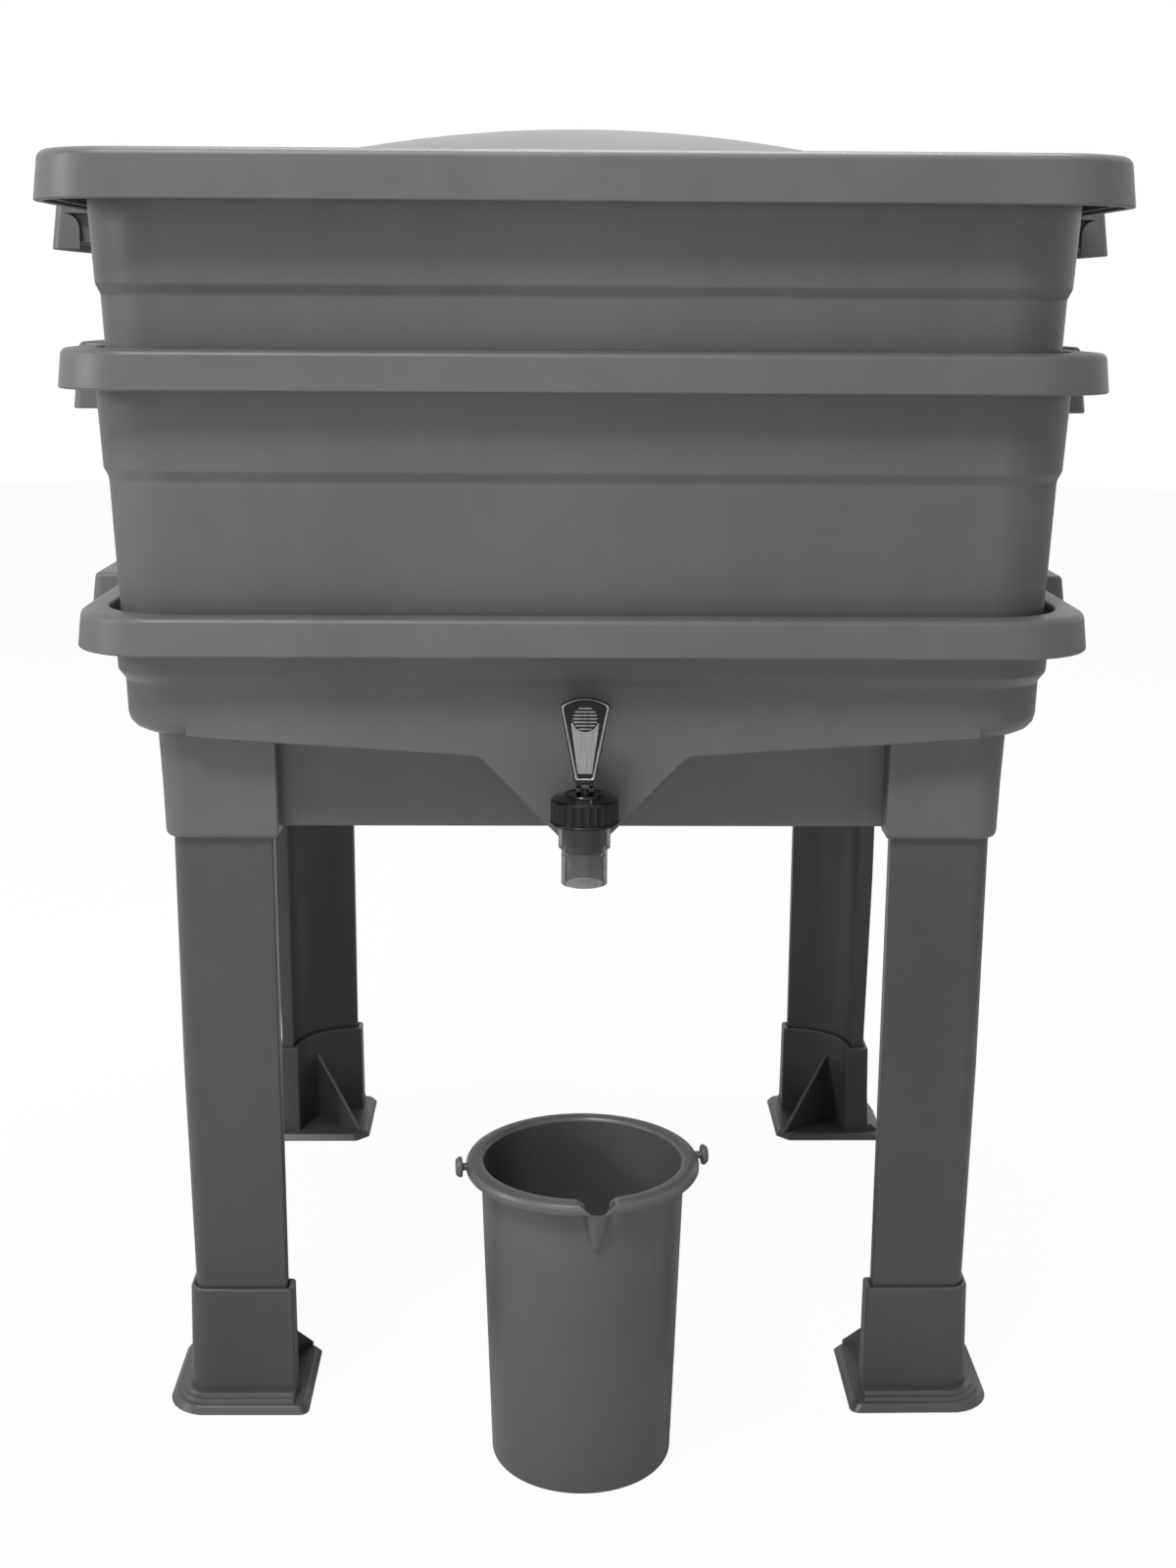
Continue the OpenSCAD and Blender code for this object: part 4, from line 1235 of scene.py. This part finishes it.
@dataclass
class Collector:
    """The collector tray: a banded bowl with a sump for the tap, a skirt and leg sockets.

    The bowl's bottom falls towards the front, and the sump sinks from it to the tap's height.
    """

    rim: Rim
    front: float
    tap_z: float
    wall: float = 3.0
    # Half widths and heights of the bowl, up its outside and down its inside
    bowl: float = 388.0
    bowl_half: float = 238.75
    bowl_r: float = 10.5
    middle_half: float = 180.0
    band_half: float = 239.5
    band_z: float = 416.0
    step_half: float = 243.0
    step_z: float = 421.0
    collar_half: float = 243.6
    collar_z: float = 435.5
    neck_half: float = 249.0
    mouth_half: float = 240.5
    ledge_half: float = 234.0
    ledge_z: float = 434.0
    inside_half: float = 236.5
    # The shallow fall of the bowl's bottom, and the sump in it
    dish_half: float = 190.0
    dish_fall: float = 9.0
    dish_back: float = 200.0
    sump_half: float = 51.0
    sump_front: float = 25.8
    sump_back: float = 150.0
    sump_r: float = 11.5
    sump_edge: float = 9.0
    slices: tuple[float, ...] = (10, 45, 65, 85, 105, 125, 140, 175)
    # The sump's front face
    panel_half: float = 204.0
    panel_levels: tuple[float, float] = (12.0, 2.0)
    front_r: float = 1.6
    # The leg sockets, and the skirt between them
    socket_low: float = 331.0
    socket_skin: float = 3.5
    socket_fit: float = 0.3
    joint_h: float = 1.5
    skirt_low: float = 334.0
    skirt_half: float = 205.4
    skirt_reach: float = 163.0
    # Corner radii by half width, and where a handle's end walls start by depth
    corners: tuple[Point2, ...] = ((180, 30), (238.75, 34.2), (243.5, 37.5), (249, 42.5),
                                   (255, 40.5), (260.75, 45))
    starts: tuple[Point2, ...] = ((0, 249.5), (2.6, 248.6), (18, 243.4), (33, 242), (37, 238.6))

    def profile(self) -> list[Point2]:
        """The wall's section from under the bowl, over the rim and down to the bowl's floor.

        Returns:
            Half widths and heights.
        """
        floor, shelf = self.bowl + self.wall, self.ledge_z - self.wall
        rim = [(half, self.rim.top + z, r) for half, z, r in self.rim.section()]
        return soften([
            (self.middle_half, self.bowl, 0), (self.bowl_half, self.bowl, self.bowl_r),
            (self.band_half, self.band_z, 3.0), (self.step_half, self.step_z, 3.0),
            (self.collar_half, self.collar_z, 3.0),
            (self.neck_half, self.rim.top - self.rim.hem, 1.0), *rim,
            (self.mouth_half, self.ledge_z, 1.0), (self.ledge_half, self.ledge_z, 0.8),
            (self.ledge_half, shelf, 0.8), (self.inside_half, shelf, 0.8),
            (self.bowl_half - self.wall, floor, 8.5), (self.middle_half, floor, 0)], False)

    def _fall(self, y: float) -> float:
        """Depth of the bowl's shallow fall at a place from the front to the back."""
        return self.dish_fall * max(0.0, 1 - (y - self.front) / self.dish_back)

    def _bed(self, y: float, deep: float, low: float, edge: float) -> float:
        """Least height of the sump's outline, which rises to the bowl behind the tap.

        Args:
            y: The place.
            deep: Height of the sump's bottom at the tap.
            low: Height of the fall at the front.
            edge: Height of the fall at the place.

        Returns:
            The height.
        """
        if y > self.front + self.sump_back:
            return edge
        back = (y - self.front - self.sump_front) / (self.sump_back - self.sump_front)
        return deep - 2 if back < 0 else deep + (low + 2 - deep) * min(back, 1.0)

    def _sump_section(self, y: float, skin: float, shoulder: Sequence[Point2],
                      ease: float = 0.0) -> list[Point3]:
        """The outline of the fall and the sump across X at a place along Y.

        Args:
            y: The place.
            skin: Wall added round the hollow, 0 for the hollow itself.
            shoulder: Half widths and heights above the fall, from where the section closes.
            ease: How far the outline is drawn in, for a rounded front edge.

        Returns:
            The outline's points.
        """
        r, half = self.sump_r + skin - ease, self.sump_half + skin - ease
        low = self.bowl - self.dish_fall + (self.wall - skin)
        rise = low - self.tap_z
        touch = math.atan2(rise, half) - math.acos(r / math.hypot(half, rise))
        high = self.bowl + (self.wall - skin) + ease * 0.6
        edge = high - self._fall(y)
        bed = self._bed(y, self.tap_z - r, low, edge)
        turn = [(r * math.cos(a), self.tap_z + r * math.sin(a))
                for a in (touch - (math.pi / 2 + touch) * k / 8 for k in range(9))]
        side = soften([(self.dish_half, high + 0.01, 0), (half, edge, self.sump_edge),
                       (*turn[0], 0)], False, 6)
        run = 24
        slope = [(side[-2][0] + (turn[0][0] - side[-2][0]) * k / run,
                  side[-2][1] + (turn[0][1] - side[-2][1]) * k / run) for k in range(1, run)]
        path = [(x, min(max(z, bed), max(edge, z if x > half else edge)))
                for x, z in [*side[:-1], *slope, *turn]]
        right = [*shoulder, *path]
        full = [*right, *[(-x, z) for x, z in reversed(right[:-1])]]
        return [(x, y, z) for x, z in full]

    def _sump(self, skin: float, top: float) -> Shell:
        """The fall and the sump as one block along Y.

        Args:
            skin: Wall added round the hollow, 0 for the hollow itself.
            top: Height of the block's top.

        Returns:
            The shell.
        """
        places = sorted((self.front_r if skin else self.wall, self.sump_front, self.sump_back,
                         self.sump_back + 1, self.dish_back - 1, *self.slices))
        return Shell().loft([self._sump_section(self.front + y, skin, [(self.dish_half, top)])
                             for y in places], caps=True)

    def _panel(self) -> Shell:
        """The sump's front face, which runs on smoothly from the band above it.

        Returns:
            The shell.
        """
        shoulder = [(self.panel_half, self.bowl + level) for level in self.panel_levels]
        r = self.front_r
        return Shell().loft([
            self._sump_section(self.front + y, self.wall, shoulder, ease)
            for y, ease in ((0, r), (0.5, 0.5), (r, 0), (self.wall, 0))], caps=True)

    def _apron(self) -> Shell:
        """The skirt below the bowl, a wall on each side between the leg sockets.

        Returns:
            The shell.
        """
        shell = Shell()
        top, t = self.bowl + 2, self.wall
        spots = soften([(0, top, 0), (0, self.skirt_low, 0.8), (t, self.skirt_low, 1.0),
                        (t, top, 0)], False, 3)
        wall = Shell().loft([[(x, -(self.skirt_half - t + d), z) for d, z in spots]
                             for x in (-self.skirt_reach, self.skirt_reach)], caps=True)
        for turn in range(4):
            shell.add(wall.moved(Matrix.Rotation(math.pi / 2 * turn, 4, "Z")))
        return shell

    def _sockets(self) -> Shell:
        """The four leg sockets, open below.

        Returns:
            The shell.
        """
        shell = Shell()
        z, s, f, top = self.socket_low, self.socket_skin, self.socket_fit, self.bowl + self.joint_h
        levels = [(top, s, 2.6), (z + 30, s, 1.3), (z + 3.5, s, 0.6), (z + 1.6, s - 0.2, 0.5),
                  (z + 0.5, s - 0.8, 0.4), (z, s - 1.8, 0.4), (z, f + 0.4, 0), (z + 0.5, f, 0),
                  (top, f, 0)]
        for side in SIDES.values():
            shell.loft([PLAN.place(PLAN.outline(grow + more, grow), h, side)
                        for h, grow, more in levels], loop=True)
        return shell

    def build(self) -> bpy.types.Object:
        """Builds the collector tray as one mesh.

        Returns:
            The tray.
        """
        rings = [square_ring(h, between(self.corners, h), z) for h, z in self.profile()]
        piece = Shell().loft(rings, caps=True).make("collector_moulding")
        self.rim.cut_gaps(piece)
        meet(piece, self._panel(), Join.ADD)
        meet(piece, self._sump(self.wall, self.bowl + self.joint_h), Join.ADD)
        meet(piece, self._sump(0.0, self.bowl + 2 * self.wall), Join.CUT)
        self.rim.add_handles(piece, self.starts)
        include(piece, self._apron())
        include(piece, self._sockets())
        finish_surface(piece)
        return piece

    def dress(self, piece: bpy.types.Object, material: bpy.types.Material) -> None:
        """Gives the collector its plastic and its place."""
        settle(piece, Body.BASE, material, "collector_tray")


@dataclass
class TapTop:
    """The tap's fluted screw cap, its lever and the bright trim set into the lever.

    Heights are taken from the tap's axis, and those of the lever from its pin.
    """

    y: float
    z: float
    # The cap
    cap_low: float = 6.8
    cap_top: float = 22.0
    cap_r: float = 17.3
    cap_bore: float = 2.85
    cap_roof: float = 10.5
    foot_r: float = 13.6
    foot_out: float = 0.4
    ring_h: float = 12.6
    collar_r: float = 9.9
    collar_h: float = 0.5
    flutes: int = 26
    flute_deep: float = 1.1
    flute_power: float = 0.8
    flute_ends: Point2 = (1.9, 0.6)
    # The lever's paddle, fork and cam
    pin_z: float = 25.15
    pin_boss: float = 2.85
    low_half: float = 5.3
    top_half: float = 12.65
    paddle_low: float = 3.4
    side_z: float = 42.6
    paddle_top: float = 46.2
    half_t: float = 2.0
    fork: Point2 = (1.9, 4.4)
    nose: Point2 = (-5.3, -0.46)
    nose_r: float = 1.6
    web_top: float = 5.4
    # The thumb disc and its ridges, and the inlay; the ridges are drawn in silver as painted
    # highlights
    thumb: float = 35.6
    thumb_r: float = 6.7
    thumb_t: float = 0.6
    ridges: int = 7
    ridge_pitch: float = 1.75
    ridge_reach: float = 6.1
    inlay_halves: Point2 = (3.7, 7.2)
    inlay_heights: Point2 = (7.2, 33.6)
    # The broken edges of the fork and the ridges
    break_w: float = 0.25
    break_share: float = 0.93

    def _at(self, z: float = 0.0) -> Matrix:
        """The move from the tap's axis to its place, and up by z."""
        return Matrix.Translation((0, self.y, self.z + z))

    def cap(self) -> bpy.types.Object:
        """Builds the cap.

        Returns:
            The cap.
        """
        low, high, r = self.cap_low, self.cap_top, self.cap_r
        ring, out = low + self.ring_h, r + self.foot_out

        def flute(angle: float, z: float) -> float:
            """Depth of the flutes, which end short of the foot and the shoulder."""
            if not low + self.flute_ends[0] < z < ring - self.flute_ends[1]:
                return 0.0
            return -self.flute_deep * abs(math.sin(self.flutes * angle / 2)) ** self.flute_power

        foot = soften([(self.foot_r, low, 0), (out, low, 0.5), (out, low + 1.2, 0.5),
                       (r - 0.3, low + 1.8, 0)], False, 3)
        tip, collar = high + self.collar_h, self.collar_r
        shoulder = soften([
            (r - 0.1, ring - 0.5, 0), (r - 1.0, ring + 0.5, 1.4), (collar + 0.7, high - 0.5, 4.0),
            (collar, tip, 0.5), (collar - 1.0, tip, 0.5), (collar - 1.5, high, 0.4),
            (self.cap_bore, high, 0)], False, 4)
        grip = [(r, low + 2.0), (r, low + 6), (r, ring - 0.8)]
        roof = low + self.cap_roof
        inside = [(self.cap_bore, roof + 0.1), (self.foot_r, roof - 0.1)]
        shell = turned([*foot, *grip, *shoulder, *inside], 10 * self.flutes, loop=True, wave=flute)
        piece = shell.moved(self._at()).make("tap_cap_shell")
        finish_surface(piece, sharp=40)
        return piece

    def _outline(self, inset: float, arch: float) -> list[Point2]:
        """The paddle's front outline.

        Args:
            inset: How far it is drawn in at the sides and the foot.
            arch: How far it is drawn in at the arch.

        Returns:
            The points in X and Z.
        """
        low, top, foot = self.low_half - inset, self.top_half - inset, self.paddle_low + inset
        rise, side = self.paddle_top - self.side_z, self.side_z
        crown = [(top * s, side + rise * (1 - s * s) - arch, 0)
                 for s in (k / 6 - 1 for k in range(1, 12))]
        return soften([(-low, foot, 0.8), (low, foot, 0.8), (top, side - arch, 2.0),
                       *reversed(crown), (-top, side - arch, 2.0)])

    def _plate(self, levels: Sequence[Point3]) -> list[list[Point3]]:
        """Rings of the paddle's outline from depths, insets and arch insets."""
        return [[(x, y, z) for x, z in self._outline(inset, arch)] for y, inset, arch in levels]

    def _across(self, outline: Sequence[Point2], x0: float, x1: float) -> Shell:
        """A prism along X, with its edges broken.

        Args:
            outline: Its outline in Y and Z.
            x0: Where it starts.
            x1: Where it ends.

        Returns:
            The shell.
        """
        count = len(outline)
        mid_y, mid_z = (sum(p[i] for p in outline) / count for i in (0, 1))
        return Shell().loft([
            [(x, mid_y + (y - mid_y) * size, mid_z + (z - mid_z) * size) for y, z in outline]
            for x, size in ((x0, self.break_share), (x0 + self.break_w, 1),
                            (x1 - self.break_w, 1), (x1, self.break_share))], caps=True)

    def lever(self) -> bpy.types.Object:
        """Builds the lever: paddle, thumb disc and a fork with its cam.

        Returns:
            The lever.
        """
        t, disc_r, disc_t = self.half_t, self.thumb_r, self.thumb_t
        shell = Shell().loft(self._plate((
            (t, 1.0, 1.0), (t - 0.15, 0.4, 0.4), (t - 0.6, 0, 0), (0.6 - t, 0, 0),
            (0.15 - t, 0.15, 0.15), (-t, 0.55, 0.5), (-t, 1.2, 0.9), (0.2 - t, 1.6, 1.2),
            (0.8 - t, 1.9, 1.5))), caps=True)
        disc = turned([(0, 0), (disc_r, 0), (disc_r, disc_t - 0.1), (disc_r - 0.2, disc_t),
                       (0, disc_t)], 48)
        shell.add(disc.moved(Matrix.Translation((0, 0.95 - t, self.thumb))
                             @ Matrix.Rotation(math.pi / 2, 4, "X")))
        boss = arc((0, 0), self.pin_boss, 0, 345, 23)
        nose = [*arc(self.nose, self.nose_r, 95, 265, 9), (0.2, -1.9), (0.2, 1.9)]
        web = soften([(-t, 0, 0), (t, 0, 0), (t, self.web_top, 0.5), (-t, self.web_top, 0.5)],
                     True, 3)
        inner, outer = self.fork
        for ends in ((-outer, -inner), (inner, outer)):
            for part in (boss, nose, web):
                shell.add(self._across(part, *ends))
        piece = shell.moved(self._at(self.pin_z)).make("lever_paddle")
        finish_surface(piece, sharp=38)
        return piece

    def trim(self) -> bpy.types.Object:
        """Builds the bright inlay, the bright edge of the paddle and the thumb ridges; the ridges'
        silver is a painted highlight that stands for the light on black ridges.

        Returns:
            The trim.
        """
        t, middle = self.half_t, self.ridges // 2
        shell = Shell()
        # Ridges in silver: painted highlights, which stand for the light on the black ridges
        for i in range(-middle, middle + 1):
            reach = self.ridge_reach * math.sqrt(1 - (2 * i / self.ridges) ** 2)
            z = self.thumb + i * self.ridge_pitch
            ridge = soften([(0.5 - t, z - 0.45, 0), (0.05 - t, z - 0.25, 0.2),
                            (0.05 - t, z + 0.25, 0.2), (0.5 - t, z + 0.45, 0)], True, 3)
            shell.add(self._across(ridge, -reach, reach))
        shell.loft(self._plate(((0.1 - t, 0.55, 0.45), (-0.12 - t, 0.75, 0.55),
                                (-0.12 - t, 1.45, 0.75), (0.1 - t, 1.65, 0.9))), loop=True)
        rings = []
        for y, inset in ((1.4, 0), (0.62, 0), (0.5, 0.12), (0.46, 0.4)):
            low, high = (half - inset for half in self.inlay_halves)
            foot, head = self.inlay_heights[0] + inset, self.inlay_heights[1] - inset
            spots = soften([(-low, foot, 0.5), (low, foot, 0.5), (high, head, 1.2),
                            (-high, head, 1.2)])
            rings.append([(x, y - t, z) for x, z in spots])
        piece = shell.loft(rings, caps=True).moved(self._at(self.pin_z)).make("lever_trim")
        finish_surface(piece, sharp=45)
        return piece

    def dress(self, black: bpy.types.Material, silver: bpy.types.Material) -> None:
        """Builds all three and gives them their looks and places.

        Args:
            black: Material of the cap and the lever.
            silver: Material of the trim; on the ridges it is a painted highlight.
        """
        settle(self.cap(), Body.BASE, black, "tap_cap")
        settle(self.lever(), Body.LEVER, black, "tap_lever")
        settle(self.trim(), Body.LEVER, silver, "lever_plate")


@dataclass
class Bucket:
    """The bucket under the tap, with a turned-down lip, a pouring notch and two lugs."""

    y: float
    height: float = 170.5
    top_r: float = 53.5
    base_r: float = 48.0
    base_lift: float = 0.8
    base_ring: float = 9.0
    floor_z: float = 2.5
    lip: float = 7.8
    lip_h: float = 6.0
    wall: float = 1.8
    turn: float = 7.0
    steps: int = 144
    # The pouring notch and its beak
    notch_drop: float = 6.5
    notch_rise: float = 1.2
    notch_halves: Point2 = (12.4, 3.0)
    notch_y: Point2 = (-45.0, -70.0)
    beak_drop: float = 27.0
    beak_wall: float = 1.6
    beak_backs: Point2 = (51.0, 46.0)
    # The lugs
    lug_stem: float = 2.0
    lug_head: float = 5.4
    lug_out: Point2 = (2.6, 6.2)

    def _section(self) -> list[Point2]:
        """The wall's half section from the base's middle to the floor's middle.

        Returns:
            Radii and heights.
        """
        h, w, lift, floor = self.height, self.wall, self.base_lift, self.floor_z
        lip_r, inner = self.top_r + self.lip, self.base_r - self.base_ring
        return [(0.0, lift), *soften([
            (0.0, lift, 0), (inner, lift, 0.6), (inner + 1, 0.0, 0.8), (self.base_r, 0.0, 5.0),
            (self.top_r, h - w, 1.0), (lip_r - w, h - w, 1.2), (lip_r - w, h - self.lip_h, 0.5),
            (lip_r, h - self.lip_h, 0.6), (lip_r, h - 3.2, 2.4), (lip_r - 1.3, h - 1.1, 1.6),
            (lip_r - 4.2, h, 4.0), (self.top_r - 0.2, h - 0.2, 2.5), (self.top_r - w, h - 2.0, 2.0),
            (self.base_r - w, floor, 5.5), (0.0, floor, 0)], False, 6)[1:]]

    def _beak(self, inset: float) -> Shell:
        """The beak under the notch, or its channel.

        Args:
            inset: The beak's wall for the channel, 0 for the beak itself.

        Returns:
            The shell, from the beak's foot up.
        """
        tip = self.top_r + self.lip - inset
        top = self.height - self.notch_drop
        low = self.height - self.beak_drop + (self.notch_drop if inset else 0)
        levels = [(low, 2.5 - inset / 2, inset - self.top_r + 1.2, 2.5 - inset / 2),
                  ((low + top) / 2, 5.0 - inset * 0.75, 4.3 - (self.top_r + tip) / 2,
                   6.6 - inset),
                  (top, 7.0 - inset, 7.0 - inset - tip, 9.2 - inset)]
        if inset:
            levels.append((self.height + 2, 7.5, 7.5 - tip, 10.0))
        back = -self.beak_backs[1 if inset else 0]
        return Shell().loft([
            [(x, y, z) for x, y in ((-half, back), *arc((0, cy), r, 180, 360, 10), (half, back))]
            for z, r, cy, half in levels], caps=True)

    def _notch(self) -> Shell:
        """The V that opens the rim above the beak.

        Returns:
            The shell.
        """
        top, foot = self.height + self.notch_rise, self.height - self.notch_drop
        wide, narrow = self.notch_halves
        spots = soften([(-wide, top, 0), (-narrow, foot, 2.0), (narrow, foot, 2.0),
                        (wide, top, 0)], False, 4)
        return Shell().loft([[(x, y, z) for x, z in spots] for y in self.notch_y], caps=True)

    def _lugs(self) -> Shell:
        """A round-headed lug on each side, which a bail would hook on.

        Returns:
            The shell.
        """
        stem, head = self.lug_stem, self.lug_head
        near, far = self.lug_out
        section = soften([(0, -1, 0), (stem, -1, 0), (stem, near, 0.8), (head, near, 0.9),
                          (head, near + 1.8, 0.9), (head - 1.4, far - 0.2, 1.0), (0, far, 0)],
                         False, 4)
        place = Matrix.Translation((self.top_r + self.lip - 0.5, 0, self.height - self.lip_h / 2))
        return turned(section, 32).moved(place @ Matrix.Rotation(math.pi / 2, 4, "Y")).mirrored()

    def build(self) -> bpy.types.Object:
        """Builds the bucket as one mesh.

        Returns:
            The bucket.
        """
        place = Matrix.Translation((0, self.y, 0)) @ Matrix.Rotation(
            math.radians(self.turn), 4, "Z")
        piece = turned(self._section(), self.steps).moved(place).make("bucket_moulding")
        meet(piece, self._beak(0.0).moved(place), Join.ADD)
        meet(piece, self._notch().moved(place), Join.CUT)
        meet(piece, self._beak(self.beak_wall).moved(place), Join.CUT)
        include(piece, self._lugs().moved(place))
        finish_surface(piece)
        return piece

    def dress(self, piece: bpy.types.Object, material: bpy.types.Material) -> None:
        """Gives the bucket its plastic and its place."""
        settle(piece, Body.BUCKET, material, "bucket")


# The stage


@dataclass(frozen=True)
class Viewpoint:
    """The camera, where the photograph was taken; its angles are degrees."""

    place: Point3 = (-16.74, -1266.11, 608.10)
    pitch: float = 13.2992
    heading: float = 1.0514
    roll: float = 0.3564
    lens: float = 46.924
    sensor: float = 36.0

    def build(self) -> None:
        """Makes the camera and gives it to the scene."""
        pitch, yaw, roll = (math.radians(a) for a in (self.pitch, self.heading, self.roll))
        ahead = Vector((math.sin(yaw) * math.cos(pitch), math.cos(yaw) * math.cos(pitch),
                        -math.sin(pitch)))
        level = Vector((math.cos(yaw), -math.sin(yaw), 0))
        above = level.cross(ahead)
        right = level * math.cos(roll) + above * math.sin(roll)
        up = above * math.cos(roll) - level * math.sin(roll)
        camera = bpy.data.objects.new("camera", bpy.data.cameras.new("camera"))
        camera.matrix_world = Matrix.Translation(Vector(self.place) * MM) @ Matrix(
            (right, up, -ahead)).transposed().to_4x4()
        camera.data.lens = self.lens
        camera.data.sensor_width = self.sensor
        bpy.context.scene.collection.objects.link(camera)
        bpy.context.scene.camera = camera


@dataclass(frozen=True)
class Lamp:
    """A soft area lamp aimed at a point; its places and size are metres."""

    name: str
    place: Point3
    aim: Point3
    size: float
    watts: float

    def build(self) -> None:
        """Makes the lamp."""
        data = bpy.data.lights.new(self.name, "AREA")
        data.shape = "DISK"
        data.size = self.size
        data.energy = self.watts
        lamp = bpy.data.objects.new(self.name, data)
        lamp.location = self.place
        lamp.rotation_mode = "QUATERNION"
        way = Vector(self.aim) - Vector(self.place)
        lamp.rotation_quaternion = way.to_track_quat("-Z", "Y")
        bpy.context.scene.collection.objects.link(lamp)


@dataclass(frozen=True)
class Studio:
    """A plain white studio: soft lamps, a pale floor and a white world."""

    ambient: float = 0.10
    floor_r: float = 6000.0
    floor_steps: int = 96
    floor_lit: float = 0.75
    floor_pale: float = 0.95
    floor_glow: float = 0.96
    lamps: tuple[Lamp, ...] = (
        Lamp("key", (-0.8, -1.7, 2.7), (0, 0, 0.5), 0.8, 48),
        Lamp("front", (-0.3, -2.3, 0.5), (0, 0, 0.4), 0.8, 3),
        Lamp("side", (-2.3, -0.7, 1.1), (0, 0, 0.5), 0.6, 13),
        Lamp("top", (0.1, 0.3, 2.5), (0, 0, 0.6), 1.3, 44))

    def world(self) -> None:
        """White to the camera and in reflections, dimmer as light on the object."""
        world = bpy.data.worlds.new("studio")
        bpy.context.scene.world = world
        paint = Paint(world)
        seen = paint.ray("Camera") | paint.ray("Glossy") | paint.ray("Transmission")
        soft, white = (paint.node("ShaderNodeBackground", None, {"Color": WHITE, "Strength": level})
                       for level in (self.ambient, 1.0))
        paint.output("ShaderNodeOutputWorld", paint.mix(seen, soft, white))

    def floor(self) -> None:
        """A wide pale floor, which shows the camera a light shadow."""
        angles = [2 * math.pi * k / self.floor_steps for k in range(self.floor_steps)]
        edge = [(self.floor_r * math.cos(a), self.floor_r * math.sin(a), 0) for a in angles]
        floor = Shell().loft([edge, [(0, 0, 0)] * self.floor_steps]).make("floor")
        paint = Paint(bpy.data.materials.new("pale_floor"))
        lit, pale = (paint.node("ShaderNodeBsdfDiffuse", None, {"Color": (level,) * 3 + (1,)})
                     for level in (self.floor_lit, self.floor_pale))
        glow = paint.node("ShaderNodeEmission", None, {"Strength": 1.0})
        shown = paint.mix(self.floor_glow, pale, glow)
        paint.output("ShaderNodeOutputMaterial", paint.mix(paint.ray("Camera"), lit, shown))
        floor.data.materials.append(paint.owner)

    def build(self) -> None:
        """Sets up the world, the floor and the lamps."""
        self.world()
        self.floor()
        for lamp in self.lamps:
            lamp.build()
        bpy.context.scene.view_settings.view_transform = "Standard"


def main() -> None:
    """Builds and dresses the wormery and its studio."""
    logging.basicConfig(level=logging.INFO, format="%(message)s")
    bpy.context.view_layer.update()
    Viewpoint().build()
    Studio().build()
    washer, pin = box("front_washer"), box("tap_pin")
    tap_y, tap_z = (pin[0][1] + pin[1][1]) / 2, (washer[0][2] + washer[1][2]) / 2
    (_, _, flap_low), (flap_out, _, crown) = box("lid")
    body, leg = BODY_PLASTIC.material(), LEG_SHADED_PLASTIC.material()
    trays = [WormTray(level, Rim(*box(level.value)[1], 3.6)) for level in (Body.LOWER, Body.UPPER)]
    for part in (*trays, Lid(flap_out, flap_low, crown),
                 Collector(Rim(*box("collector_tray")[1], 3.8), washer[1][1], tap_z)):
        part.dress(part.build(), body)
    for name, side in SIDES.items():
        post = CornerPost(name, side, box(f"{name}_leg")[0][2], box(f"{name}_foot")[1][2])
        post.dress(post.build_leg(), post.build_foot(), leg)
    bucket = Bucket(tap_y)
    bucket.dress(bucket.build(), BUCKET_PLASTIC.material())
    TapTop(tap_y, tap_z).dress(TAP_BLACK.material(), LEVER_SILVER_AND_RIDGE_HIGHLIGHT.material())
    smoke, nut = TAP_SMOKE.material(), NUT_PLASTIC.material()
    rubber, steel = SEAL_RUBBER.material(), PIN_STEEL.material()
    for name, material, slot in (
            ("tap_body", smoke, Slot.SMOKE), ("tap_stem", nut, Slot.NUT),
            ("tap_seal", rubber, Slot.RUBBER), ("tap_pin", steel, Slot.STEEL),
            ("front_washer", rubber, Slot.RUBBER), ("rear_washer", rubber, Slot.RUBBER),
            ("back_nut", nut, Slot.NUT)):
        dress(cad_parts[name], material)


if __name__ == "__main__":
    main()
